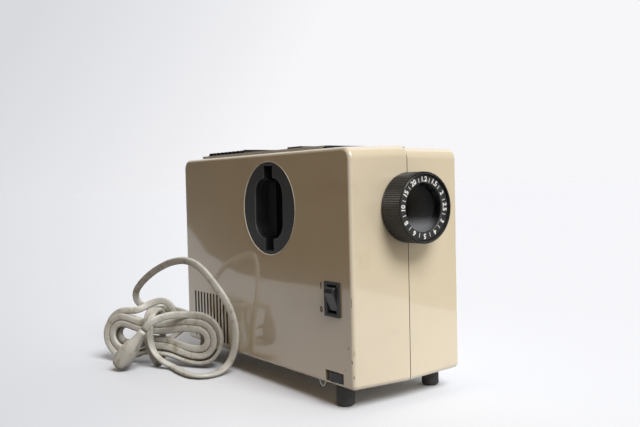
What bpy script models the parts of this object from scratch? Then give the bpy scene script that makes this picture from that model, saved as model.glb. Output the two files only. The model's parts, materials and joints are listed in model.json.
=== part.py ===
"""Slide projector: narrow two-shell casing, side slide slot, focusing lens, flat mains lead in a hank.

The lens faces -Y, the side with the switch faces -X and +Z is up. The origin is on the floor, in the middle
of the projector without its mains lead. All sizes are in metres, written with MM.
"""

from math import cos, pi, radians, sin, sqrt, tan

import bmesh
import bpy
import numpy as np
from mathutils import Matrix, Vector

MM = 0.001

# Clearances between pieces
GAP = 0.3 * MM
SLIDE_CLEARANCE = 0.35 * MM
OVERRUN = 5.0 * MM
JOIN = 1.0 * MM
MERGE_DISTANCE = 0.01 * MM

# Casing
CASE_WIDTH = 107.0 * MM
CASE_LENGTH = 256.0 * MM
CASE_HEIGHT = 172.7 * MM
CASE_WALL = 2.4 * MM
CASE_CORNER = 8.8 * MM
CASE_LOW_CORNER = 4.0 * MM
CASE_FILLET = 2.9 * MM
PARTING_GAP = 0.5 * MM
# How much each half grows from its side face to the parting plane: at the top, the bottom and each end
LEFT_TOP_DRAFT = 1.8 * MM
RIGHT_TOP_DRAFT = 0.2 * MM
LOW_DRAFT = 1.5 * MM
END_DRAFT = 1.0 * MM
CORNER_SEGMENTS = 5
FILLET_SEGMENTS = 3

# One millimetre of the real casing's length and height: places keep their share of a longer or taller one
REAL_LENGTH = 256.0
REAL_HEIGHT = 172.7
BACK = CASE_LENGTH / REAL_LENGTH
UP = CASE_HEIGHT / REAL_HEIGHT

# Feet
FOOT_HEIGHT = 16.0 * MM
FOOT_RADIUS = 6.85 * MM
FOOT_CHAMFER = 1.5 * MM
FOOT_INSET = 10.0 * MM
FRONT_FOOT_BACK = 22.5 * MM
REAR_FOOT_INSET = 23.0 * MM
STEM_RADIUS = 4.0 * MM
STEM_RISE = 26.0 * MM
STEM_DEPTH = 9.0 * MM
STEM_CHAMFER = 0.8 * MM
FOOT_TOP_GAP = 0.6 * MM
REAR_STUB_RADIUS = 3.0 * MM
REAR_STUB_RISE = 4.4 * MM

# Foot wheels and their windows
WHEEL_RADIUS = 12.25 * MM
WHEEL_FLUTE = 0.55 * MM
WHEEL_FLUTES = 24
WHEEL_LOW = 2.9 * MM
WHEEL_HEIGHT = 6.8 * MM
WINDOW_LENGTH = 21.7 * MM
WINDOW_LOW = 2.5 * MM
WINDOW_HIGH = 10.3 * MM
SHELF_THICKNESS = 2.0 * MM
SHELF_LENGTH = 25.0 * MM
SHELF_DEPTH = 21.0 * MM

# Lens
LENS_REACH = 20.2 * MM
OPTICAL_HEIGHT = 128.2 * UP
RING_RADIUS = 26.05 * MM
RING_KNURL_COUNT = 96
RING_KNURL_DEPTH = 0.45 * MM
RING_WALL = 1.8 * MM
RING_CLEARANCE = 0.5 * MM
RING_BACK_GAP = END_DRAFT + RING_CLEARANCE
RING_CHAMFER = 0.7 * MM
RING_LIP = 0.9 * MM
RING_KNURL_ROOT = 0.3 * MM
NAME_RING_RECESS = 1.9 * MM
NAME_RING_THICKNESS = 2.2 * MM
NAME_RING_INNER = 17.8 * MM
BARREL_RADIUS = 21.25 * MM
BARREL_WALL = 2.3 * MM
BARREL_LENGTH = 58.0 * MM
BARREL_SEAT = 1.2 * MM
BARREL_SEAT_DEPTH = 6.4 * MM
BAFFLE_RADIUS = 10.0 * MM
BAFFLE_LENGTH = 15.0 * MM
BAFFLE_WALL = 1.5 * MM
FRONT_GLASS_DOME = 1.6 * MM
REAR_GLASS_THICKNESS = 5.5 * MM
REAR_GLASS_DOME = 1.5 * MM
REAR_LIP = 1.8 * MM
REAR_SEAT_DEPTH = 10.0 * MM
RING_HUB_LENGTH = 3.0 * MM
SLEEVE_WALL = 2.6 * MM
SLEEVE_LENGTH = 46.0 * MM
SLEEVE_FLANGE = 6.0 * MM
SLEEVE_FLANGE_THICKNESS = 2.0 * MM
LENS_HOLE_CLEARANCE = 0.9 * MM

# Slide port, channel and gate
PORT_BACK = 106.0 * BACK
PORT_RADIUS = 37.8 * UP
PORT_CHAMFER = 0.4 * MM
PORT_FLANGE = 2.5 * MM
PORT_FLANGE_THICKNESS = 1.6 * MM
SLOT_WIDTH = 12.9 * MM
SLOT_HEIGHT = 69.0 * UP
RECESS_LENGTH = 40.6 * MM
RECESS_HEIGHT = 50.0 * UP
RECESS_DEPTH = 12.0 * MM
RECESS_STEP_DEPTH = 4.5 * MM
RECESS_STEP = 1.6 * MM
RECESS_WALL = 1.8 * MM
CHANNEL_WALL = 1.5 * MM
GATE_WINDOW = 37.0 * MM

# Switch
SWITCH_BACK = 22.2 * MM
SWITCH_HEIGHT = 63.3 * UP
SWITCH_LENGTH = 18.0 * MM
SWITCH_TALL = 25.5 * MM
SWITCH_PROUD = 1.1 * MM
SWITCH_BODY_INSET = 1.3 * MM
SWITCH_BODY_DEPTH = 22.0 * MM
WELL_LENGTH = 11.2 * MM
WELL_TALL = 20.8 * MM
WELL_DEPTH = 11.0 * MM
ROCKER_LENGTH = 10.4 * MM
ROCKER_PIVOT_DEPTH = 3.0 * MM
ROCKER_REACH = 3.3 * MM
ROCKER_HALF = 9.2 * MM
ROCKER_OUTLINE_SHARES = (
    (1.0, -0.45), (0.97, 0.36), (0.80, 0.88), (0.50, 1.0), (0.37, 0.70), (0.0, 0.27), (-0.43, -0.18),
    (-0.88, -0.42), (-1.0, -0.80), (-0.75, -1.5), (0.0, -2.2), (0.65, -1.5),
)
TERMINAL_LENGTH = 8.0 * MM
TERMINAL_WIDTH = 4.8 * MM
TERMINAL_THICKNESS = 0.8 * MM

# Side vents
VENT_COUNT = 11
VENT_PITCH = 6.0 * BACK
VENT_WIDTH = 2.5 * MM
VENT_LOW = 5.7 * MM
VENT_HIGH = 47.7 * UP
VENT_FIRST_BACK = 179.0 * BACK

# Top cover
COVER_WIDTH = 83.0 * MM
COVER_FRONT = 43.0 * BACK
COVER_REAR = 243.0 * BACK
COVER_THICKNESS = 1.0 * MM
COVER_SKIRT = 1.5 * MM
COVER_CORNER = 4.0 * MM
LOUVRE_FRONT = 164.0 * BACK
LOUVRE_REAR = 236.0 * BACK
LOUVRE_COUNT = 10
LOUVRE_BORDER = 4.0 * MM
LOUVRE_TILT = radians(35.0)
LOUVRE_BLADE = 1.3 * MM
LOUVRE_DROP = 1.2 * MM
LOUVRE_RISE = 5.8 * MM
HOOD_FRONT = 112.0 * BACK
HOOD_RISE = 6.0 * MM
HOOD_LEDGE = 0.5 * MM
HOOD_INSET = 0.2 * MM
HOOD_FLAT = 31.0 * BACK
HOOD_FALL = 1.6 * MM
GRIP_FRONT = 72.0 * BACK
GRIP_LENGTH = 23.0 * MM
GRIP_RISE = 4.4 * MM
GRIP_SLOPE = 4.0 * MM
GRIP_INSET = 0.6 * MM
TOP_OPENING_MARGIN = 1.5 * MM

# Screw pillars, chassis posts and screws
PILLAR_RADIUS = 4.0 * MM
PILLAR_WHEEL_GAP = 1.75 * MM
PILLAR_BORE = 1.4 * MM
PILLAR_DEPTH = 14.0 * MM
SCREW_RADIUS = 1.1 * MM
SCREW_HEAD_RADIUS = 2.8 * MM
SCREW_HEAD_HEIGHT = 1.8 * MM
SCREW_CLEARANCE = 1.6 * MM
COUNTERBORE_RADIUS = 3.3 * MM
COUNTERBORE_DEPTH = 2.6 * MM
PILLAR_HIGH = (OPTICAL_HEIGHT + BARREL_RADIUS + SLIDE_CLEARANCE + SLEEVE_WALL + CASE_HEIGHT - CASE_WALL) / 2
PILLAR_PLACES = (
    (14.5 * BACK, PILLAR_HIGH),
    (241.5 * BACK, PILLAR_HIGH),
    (246.0 * BACK, 12.0 * UP),
    (FRONT_FOOT_BACK + WHEEL_RADIUS + PILLAR_WHEEL_GAP + PILLAR_RADIUS, 11.0 * UP),
)
POST_RADIUS = 4.0 * MM
REAR_POST_INSET = 30.0 * MM
POST_BACKS = (54.0 * BACK, CASE_LENGTH - REAR_POST_INSET)

# Chassis plate
PLATE_LOW = 21.7 * UP
PLATE_THICKNESS = 1.6 * MM
PLATE_WIDTH = 94.0 * MM
PLATE_FRONT = 36.0 * BACK
PLATE_REAR = 236.0 * BACK
PLATE_LIP = 6.0 * MM
PLATE_SCREW_INSET = 7.5 * MM

# Lens support
SUPPORT_WIDTH = 44.0 * MM
SUPPORT_THICKNESS = 2.0 * MM
SUPPORT_BACK = 40.0 * BACK
SUPPORT_FOOT = 9.0 * MM

# Condenser
CELL_FRONT = 115.6 * BACK
CELL_END = 6.0 * MM
CELL_INNER = 24.4 * MM
CELL_WALL = 1.8 * MM
CELL_RIB = 1.4 * MM
CELL_RIB_LENGTH = 2.0 * MM
CELL_FLANGE = 5.0 * MM
CELL_FLANGE_THICKNESS = 1.5 * MM
CONDENSER_FRONT_THICKNESS = 9.0 * MM
CONDENSER_REAR_THICKNESS = 10.0 * MM
CONDENSER_EDGE = 2.4 * MM
FILTER_THICKNESS = 3.0 * MM

# Lamp house
HOUSE_FRONT = 128.0 * BACK
HOUSE_REAR = 211.0 * BACK
HOUSE_WIDTH = 72.0 * MM
HOUSE_ABOVE = 30.5 * MM
HOUSE_TOP = OPTICAL_HEIGHT + HOUSE_ABOVE
HOUSE_WALL = 1.0 * MM
INLET_HIGH = 46.7 * UP
INLET_LOW = 28.7 * UP
INLET_MARGIN = 10.0 * MM

# Lamp, lampholder, carrier and reflector
LAMP_BACK = 171.0 * BACK
BULB_RADIUS = 6.5 * MM
BULB_LENGTH = 32.0 * MM
BULB_TIP = 3.0 * MM
BULB_PINCH = 9.0 * MM
BULB_PINCH_RADIUS = 4.0 * MM
HOLDER_WIDTH = 24.0 * MM
HOLDER_LENGTH = 14.0 * MM
HOLDER_HEIGHT = 12.0 * MM
HOLDER_POCKET = 5.0 * MM
HOLDER_BEVEL = 1.0 * MM
CARRIER_WIDTH = 30.0 * MM
CARRIER_THICKNESS = 1.2 * MM
CARRIER_LIP = 16.0 * MM
CARRIER_FRONT = 12.0 * MM
REFLECTOR_RADIUS = 25.0 * MM
REFLECTOR_FOCUS = 30.0 * MM
REFLECTOR_WALL = 1.2 * MM
REFLECTOR_STEM = 4.0 * MM

# Fan
FAN_BACK = 169.0 * BACK
MOTOR_RADIUS = 19.0 * MM
MOTOR_HEIGHT = 22.0 * MM
MOTOR_FLANGE = 5.0 * MM
MOTOR_FLANGE_THICKNESS = 2.0 * MM
MOTOR_BEARING = 4.5 * MM
MOTOR_BEARING_RISE = 3.0 * MM
MOTOR_BORE_DEPTH = 10.0 * MM
SHAFT_RADIUS = 1.5 * MM
ROTOR_LOW = 54.7 * UP
ROTOR_HEIGHT = 12.0 * MM
ROTOR_RADIUS = 30.0 * MM
ROTOR_HUB = 9.0 * MM
ROTOR_HUB_WALL = 1.6 * MM
ROTOR_BLADES = 7
ROTOR_PITCH = radians(38.0)
ROTOR_BLADE = 1.3 * MM
ROTOR_BLADE_CHORD = 13.0 * MM

# Transformer and terminal block
CORE_WIDTH = 62.0 * MM
CORE_DEPTH = 34.0 * MM
CORE_HEIGHT = 52.0 * MM
CORE_WINDOW_WIDTH = 10.5 * MM
CORE_WINDOW_HEIGHT = 31.0 * MM
CORE_BACK = 78.0 * BACK
CORE_FOOT = 9.0 * MM
CORE_FOOT_THICKNESS = 2.0 * MM
WINDING_PROUD = 9.0 * MM
WINDING_CORNER = 3.0 * MM
BLOCK_WIDTH = 26.0 * MM
BLOCK_LENGTH = 11.0 * MM
BLOCK_HEIGHT = 10.0 * MM
BLOCK_BACK = 224.0 * BACK
BLOCK_INSET = 25.0 * MM
BLOCK_SIDE = PLATE_WIDTH / 2 - BLOCK_INSET
BLOCK_WAYS = 3
BLOCK_SCREW_RADIUS = 2.2 * MM
BLOCK_SCREW_DEPTH = 3.0 * MM

# Mains cord exit, strain relief and plug
CORD_SIDE = 30.0 * MM
CORD_HEIGHT = 14.7 * MM
RELIEF_NECK = 4.6 * MM
RELIEF_FLANGE = 7.0 * MM
RELIEF_FLANGE_THICKNESS = 1.8 * MM
RELIEF_LENGTH = 26.0 * MM
RELIEF_TIP = 3.9 * MM
PLUG_LENGTH = 36.0 * MM
PLUG_WIDTH = 17.0 * MM
PLUG_DEPTH = 13.7 * MM
PLUG_BEVEL = 2.0 * MM
PLUG_TAIL = 9.3 * MM
PLUG_TAIL_END = 3.4 * MM
PLUG_TAIL_ROOT = 4.2 * MM
PLUG_PIN_RADIUS = 2.0 * MM
PLUG_PIN_LENGTH = 13.0 * MM
PLUG_PIN_SPACING = 18.6 * MM
PLUG_PIN_SEAT = 6.0 * MM
PLUG_PIN_END = 13.2 * MM
PLUG_RIM_ANGLE = radians(60.0)
PLUG_OUTLINE_SHARES = (
    (0.0, 0.42), (0.16, 0.52), (0.36, 0.84), (0.56, 1.0), (0.80, 0.96), (0.94, 0.70), (1.0, 0.30),
)

# Mains lead and its hank
CORD_DIAMETER = 5.2 * MM
LEAD_STEP = 12.5 * MM
WRAP_STEP = 5.5 * MM
CORD_SMOOTHING = 16
GAP_SAMPLE_STEPS = 5
JOINT_DIAMETER_COUNT = 3
LOOP_POINTS = 24
HANK_FOOT_SIDE = 100.5 * MM
HANK_FOOT_BACK = 126.0 * MM
HANK_TURN = radians(58.0)
HANK_LEFT = 48.5 * MM
HANK_RIGHT = 79.0 * MM
HANK_HALF_HEIGHT = 22.4 * MM
HANK_MIDDLE = 25.4 * MM
HANK_PITCH = 6.3 * MM
HANK_LAYER = 6.2 * MM
HANK_START = 0.25
HANK_CLIMB = 2.5
HANK_CLIMBED = 2.75
HANK_END = 5.0
WAIST_TOP_DROP = 4.5 * MM
WAIST_LOW_RISE = 6.0 * MM
WAIST_TOP_SPAN = (-4.0 * MM, 14.0 * MM)
WAIST_LOW_SPAN = (2.0 * MM, 20.0 * MM)
WAIST_LEFT_RAMP = 22.0 * MM
WAIST_RIGHT_RAMP = 30.0 * MM

# Route of the lead from the strain relief to the wrap, in millimetres in the object's frame
LEAD_ROUTE = (
    (-24.5, 181, 25), (-33, 194, 13), (-45, 196, 5), (-55, 187, 3),
    (-59.5, 168, 2.9), (-60, 146, 2.9), (-60, 122, 3), (-60.5, 105, 6), (-61.5, 93, 15), (-62.5, 89, 27),
    (-64.5, 95, 37), (-67, 108, 43), (-71.5, 125, 46), (-78.5, 141, 46.5), (-85.5, 152.5, 46.8),
    (-91.5, 160.5, 48.8), (-95.2, 164.5, 54), (-96.5, 162.5, 62), (-95.2, 151.5, 72), (-92.5, 132.7, 82.9),
    (-91.5, 113.7, 90), (-91, 91.5, 96), (-87.5, 71, 98.6), (-83.5, 58, 95.5), (-79.5, 49, 88.5),
    (-75, 41, 78.5), (-69, 34, 65),
    (-64.5, 31, 51), (-62, 31, 38), (-62, 33, 25), (-63.5, 37.5, 13), (-69, 40.5, 5), (-78, 39.5, 2.9),
    (-88, 39, 2.9), (-95, 46, 2.9), (-97, 58, 2.9), (-96.7, 70, 2.9), (-95.8, 79, 2.9),
    (-95.2, 84, 2.9),
)

# Routes beside the hank: millimetres along it, up, and towards the front
WRAP_ROUTE = (
    (28, 5.6, 15.8), (21.5, 9, 15.5), (15.7, 14.5, 15.3), (12.8, 21.5, 15.2),
    (11.9, 30.3, 15.2), (12, 38.5, 15), (12, 45.5, 12.5), (12, 50.3, 6.5), (11.8, 51, -1),
    (10.5, 47.5, -7.5), (9.5, 38, -9.6), (9, 22, -9.6), (9.5, 9, -9), (11, 3.2, -4), (13.5, 2.8, 4),
    (16.5, 3.1, 10.5), (15.5, 6, 13.5), (12, 10.5, 12.8), (8.5, 15.5, 11), (6.3, 22, 9.6), (5.7, 30, 9.3),
    (5.5, 39, 9.1), (4.8, 46.5, 7), (4, 50.4, 1), (3, 49.5, -5), (1.8, 45, -10), (2, 39.5, -13.6),
    (6, 35, -17), (11.5, 35, -18), (16, 39.5, -18), (16.8, 46, -17.8), (13, 52.5, -17.5), (6, 56, -17),
    (-1, 55.3, -15.5), (-8, 52.3, -12), (-13.2, 48.6, -5.2),
)
TAIL_ROUTE = (
    (40, 48.4, 7), (36, 48.9, 13), (32, 48.6, 20), (28.8, 47.6, 26.5), (25.8, 46, 31), (22.2, 42.7, 32.5),
)
PLUG_FAR_END = (-7.3, 8, 32.5)

# Wire eye under the front left edge
EYE_WIRE = 0.45 * MM
EYE_BACK = 43.5 * MM
EYE_SIDE = 5.0 * MM
EYE_WIDTH = 9.0 * MM
EYE_DROP = 5.2 * MM
EYE_RISE = 4.0 * MM

# Facets round the turned pieces
ROUND_STEPS = 44
HIDDEN_STEPS = 30
SMALL_STEPS = 24
FOOT_STEPS = 20
TINY_STEPS = 10

# Places that follow from the sizes
FRONT_Y = (LENS_REACH - CASE_LENGTH - END_DRAFT) / 2
SIDE_X = CASE_WIDTH / 2
FOOT_X = SIDE_X - FOOT_INSET
OPTICAL_Z = FOOT_HEIGHT + OPTICAL_HEIGHT
PORT_Y = FRONT_Y + PORT_BACK
INNER_X = SIDE_X - CASE_WALL
PLATE_Z = FOOT_HEIGHT + PLATE_LOW
PLATE_TOP = PLATE_Z + PLATE_THICKNESS
POST_X = PLATE_WIDTH / 2 - PLATE_SCREW_INSET
CORD_EXIT_X = CORD_SIDE - SIDE_X
CORD_EXIT_Z = FOOT_HEIGHT + CORD_HEIGHT

# Colours, roughness and metallic value of each finish
FINISHES = {
    "casing": ((0.60, 0.52, 0.38), 0.32, 0.0),
    "black_plastic": ((0.020, 0.021, 0.023), 0.38, 0.0),
    "black_metal": ((0.025, 0.025, 0.027), 0.45, 0.6),
    "rubber": ((0.03, 0.03, 0.032), 0.75, 0.0),
    "glass": ((0.75, 0.82, 0.84), 0.05, 0.0),
    "heat_glass": ((0.62, 0.80, 0.76), 0.05, 0.0),
    "steel": ((0.62, 0.62, 0.62), 0.35, 1.0),
    "aluminium": ((0.78, 0.78, 0.79), 0.30, 1.0),
    "ceramic": ((0.82, 0.80, 0.76), 0.55, 0.0),
    "copper": ((0.62, 0.30, 0.16), 0.40, 0.8),
    "grey_plastic": ((0.35, 0.35, 0.34), 0.50, 0.0),
    "lead_grey": ((0.55, 0.53, 0.45), 0.55, 0.0),
}


def new_collection(name):
    group = bpy.data.collections.new(name)
    bpy.context.scene.collection.children.link(group)
    return group


def finish(name):
    """The material of one finish, made at its first use."""
    if name in bpy.data.materials:
        return bpy.data.materials[name]
    colour, roughness, metallic = FINISHES[name]
    material = bpy.data.materials.new(name)
    material.use_nodes = True
    shader = material.node_tree.nodes["Principled BSDF"]
    shader.inputs["Base Color"].default_value = (*colour, 1.0)
    shader.inputs["Roughness"].default_value = roughness
    shader.inputs["Metallic"].default_value = metallic
    return material


def place(name, mesh, finish_name, location=(0, 0, 0), smooth=True):
    """A visible piece from a mesh whose coordinates are already in the object's frame."""
    piece = bpy.data.objects.new(name, mesh)
    PARTS.objects.link(piece)
    mesh.materials.append(finish(finish_name))
    mesh.transform(Matrix.Translation(-Vector(location)))
    piece.location = location
    if smooth:
        mesh.shade_smooth()
        mesh.set_sharp_from_angle(angle=radians(30))
    return piece


def helper(name, mesh):
    """A cutter or a shape to be joined: hidden from the render."""
    tool = bpy.data.objects.new(name, mesh)
    CUTTERS.objects.link(tool)
    tool.hide_render = True
    tool.display_type = "WIRE"
    return tool


def combine(piece, tools, operation):
    """Adds one Boolean modifier for each tool."""
    for tool in tools:
        modifier = piece.modifiers.new(f"{operation.title()} {tool.name}", "BOOLEAN")
        modifier.operation = operation
        modifier.object = tool
    return piece


def cut(piece, *tools):
    return combine(piece, tools, "DIFFERENCE")


def join(piece, *tools):
    return combine(piece, tools, "UNION")


def mesh_from(bm, name):
    bmesh.ops.recalc_face_normals(bm, faces=bm.faces)
    mesh = bpy.data.meshes.new(name)
    bm.to_mesh(mesh)
    bm.free()
    return mesh


def box_into(bm, low, high):
    """A box between two opposite corners, given in any order."""
    low, high = Vector(low), Vector(high)
    size = Vector(abs(b - a) for a, b in zip(low, high))
    matrix = Matrix.Translation((low + high) / 2) @ Matrix.Diagonal((*size, 1))
    return bmesh.ops.create_cube(bm, size=1, matrix=matrix)["verts"]


def box(name, low, high, bevel=0.0, segments=2):
    """A box mesh, its edges rounded when a bevel is given."""
    bm = bmesh.new()
    box_into(bm, low, high)
    if bevel > 0:
        bmesh.ops.bevel(bm, geom=bm.edges, offset=bevel, segments=segments, profile=0.5, affect="EDGES")
    return mesh_from(bm, name)


def boxes(name, corners):
    bm = bmesh.new()
    for low, high in corners:
        box_into(bm, low, high)
    return mesh_from(bm, name)


def axis_matrix(axis):
    """Turns a shape made along +Z so that it points along the given axis."""
    return Vector((0, 0, 1)).rotation_difference(Vector(axis)).to_matrix().to_4x4()


def cylinder_into(bm, start, end, radius, steps, end_radius=None):
    """A cylinder or cone between two points."""
    start, end = Vector(start), Vector(end)
    along = end - start
    matrix = Matrix.Translation((start + end) / 2) @ axis_matrix(along)
    return bmesh.ops.create_cone(
        bm, cap_ends=True, segments=steps, radius1=radius,
        radius2=radius if end_radius is None else end_radius, depth=along.length, matrix=matrix,
    )["verts"]


def cylinder(name, start, end, radius, steps=SMALL_STEPS, end_radius=None):
    bm = bmesh.new()
    cylinder_into(bm, start, end, radius, steps, end_radius)
    return mesh_from(bm, name)


def cylinders(name, pairs, radius, steps=TINY_STEPS):
    bm = bmesh.new()
    for start, end in pairs:
        cylinder_into(bm, start, end, radius, steps)
    return mesh_from(bm, name)


def outline_prism(name, depth, *outlines):
    """Flat outlines in XY, extruded from z 0 to the depth: those inside another are holes."""
    curve = bpy.data.curves.new(name, "CURVE")
    curve.dimensions = "2D"
    curve.fill_mode = "BOTH"
    curve.extrude = depth / 2
    for points in outlines:
        spline = curve.splines.new("POLY")
        spline.points.add(len(points) - 1)
        for point, (x, y) in zip(spline.points, points):
            point.co = (x, y, 0, 1)
        spline.use_cyclic_u = True
    guide = bpy.data.objects.new(name, curve)
    CUTTERS.objects.link(guide)
    bpy.context.view_layer.update()
    evaluated = guide.evaluated_get(bpy.context.evaluated_depsgraph_get())
    mesh = bpy.data.meshes.new_from_object(evaluated)
    bpy.data.objects.remove(guide)
    bpy.data.curves.remove(curve)
    bm = bmesh.new()
    bm.from_mesh(mesh)
    bmesh.ops.remove_doubles(bm, verts=bm.verts, dist=MERGE_DISTANCE)
    bmesh.ops.translate(bm, verts=bm.verts, vec=(0, 0, depth / 2))
    bpy.data.meshes.remove(mesh)
    return mesh_from(bm, name)


def turned(name, profile, start, axis, finish_name, steps=ROUND_STEPS, closed=True):
    """A turned piece: the profile holds (radius, distance along the axis) points from its start.

    The profile runs so that its outer side is followed from the far end back to the start.
    """
    mesh = bpy.data.meshes.new(name)
    count = len(profile)
    edges = [(i, (i + 1) % count) for i in range(count if closed else count - 1)]
    mesh.from_pydata([(radius, 0, along) for radius, along in profile], edges, [])
    mesh.materials.append(finish(finish_name))
    piece = bpy.data.objects.new(name, mesh)
    PARTS.objects.link(piece)
    piece.matrix_world = Matrix.Translation(start) @ axis_matrix(axis)
    add_screw(piece, steps)
    return piece


def add_screw(piece, steps):
    screw = piece.modifiers.new("Turn", "SCREW")
    screw.angle = 2 * pi
    screw.steps = steps
    screw.render_steps = steps
    screw.use_merge_vertices = True
    screw.merge_threshold = MERGE_DISTANCE
    screw.use_smooth_shade = True


def obround(length, height, steps=8):
    """Outline of a standing obround: half circles above and below a straight stretch."""
    radius = length / 2
    rise = (height - length) / 2
    upper = [(radius * cos(pi * i / steps), rise + radius * sin(pi * i / steps)) for i in range(steps + 1)]
    lower = [(-x, -y) for x, y in upper]
    return upper + lower


def side_prism(name, points, side, inner, outer):
    """An outline round the slide port, extruded between two distances from the centre plane."""
    mesh = outline_prism(name, outer - inner, points)
    turn = Matrix(((0, 0, 1, 0), (1, 0, 0, 0), (0, 1, 0, 0), (0, 0, 0, 1)))
    mesh.transform(Matrix.Translation((inner, PORT_Y, OPTICAL_Z)) @ turn)
    if side < 0:
        mesh.transform(Matrix.Diagonal((-1, 1, 1, 1)))
        mesh.flip_normals()
    return mesh


def case_y(back):
    return FRONT_Y + back


def case_z(height):
    return FOOT_HEIGHT + height


def drafted(from_middle):
    """Share of the draft at a distance from the parting plane: none at the side face, all at the plane."""
    return 1 - from_middle / SIDE_X


def top_draft(side):
    """How much a half's roof rises to the parting plane."""
    return LEFT_TOP_DRAFT if side < 0 else RIGHT_TOP_DRAFT


def foot_top():
    """Height of the drafted floor over the inner edge of a foot."""
    return FOOT_HEIGHT - LOW_DRAFT * drafted(FOOT_X - FOOT_RADIUS)


def shell_blank(side):
    """Half of the casing as an open surface, rounded along its length edges and round its side face."""
    bm = bmesh.new()
    inner = side * PARTING_GAP / 2
    outer = side * SIDE_X
    box_into(bm, (inner, FRONT_Y, FOOT_HEIGHT), (outer, FRONT_Y + CASE_LENGTH, FOOT_HEIGHT + CASE_HEIGHT))
    middle_y, middle_z = FRONT_Y + CASE_LENGTH / 2, FOOT_HEIGHT + CASE_HEIGHT / 2
    across = [e for e in bm.edges if abs(e.verts[0].co.x - e.verts[1].co.x) > CASE_WALL]
    lower = [e for e in across if e.verts[0].co.z < middle_z]
    for edges, radius in (([e for e in across if e not in lower], CASE_CORNER), (lower, CASE_LOW_CORNER)):
        bmesh.ops.bevel(bm, geom=edges, offset=radius, segments=CORNER_SEGMENTS, profile=0.5, affect="EDGES")
    rim = [e for e in bm.edges if all(abs(v.co.x - outer) < MERGE_DISTANCE for v in e.verts)]
    bmesh.ops.bevel(bm, geom=rim, offset=CASE_FILLET, segments=FILLET_SEGMENTS, profile=0.5, affect="EDGES")
    for v in bm.verts:
        share = drafted(abs(v.co.x))
        along, up = (v.co.y - middle_y) / (CASE_LENGTH / 2), (v.co.z - middle_z) / (CASE_HEIGHT / 2)
        v.co.y += share * END_DRAFT * along
        v.co.z += share * (top_draft(side) if up > 0 else LOW_DRAFT) * up
    bmesh.ops.recalc_face_normals(bm, faces=bm.faces)
    parting = [f for f in bm.faces if all(abs(v.co.x - inner) < MERGE_DISTANCE for v in f.verts)]
    bmesh.ops.delete(bm, geom=parting, context="FACES")
    mesh = bpy.data.meshes.new("shell")
    bm.to_mesh(mesh)
    bm.free()
    return mesh


def pillar_tools(side, word):
    """Screw pillars from the side wall to the parting plane, and their bores."""
    start = side * (PARTING_GAP / 2 + GAP)
    pairs = []
    bores = []
    for back, height in PILLAR_PLACES:
        y, z = case_y(back), case_z(height)
        pairs.append(((start, y, z), (side * (INNER_X + JOIN), y, z)))
        if side < 0:
            bores.append(((start + OVERRUN, y, z), (start - PILLAR_DEPTH, y, z)))
        else:
            bores.append(((start - OVERRUN, y, z), (SIDE_X + OVERRUN, y, z)))
    pillars = helper(f"{word}_pillars", cylinders(f"{word}_pillars", pairs, PILLAR_RADIUS))
    radius = PILLAR_BORE if side < 0 else SCREW_CLEARANCE
    bore = helper(f"{word}_pillar_bores", cylinders(f"{word}_pillar_bores", bores, radius))
    return pillars, bore


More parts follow.
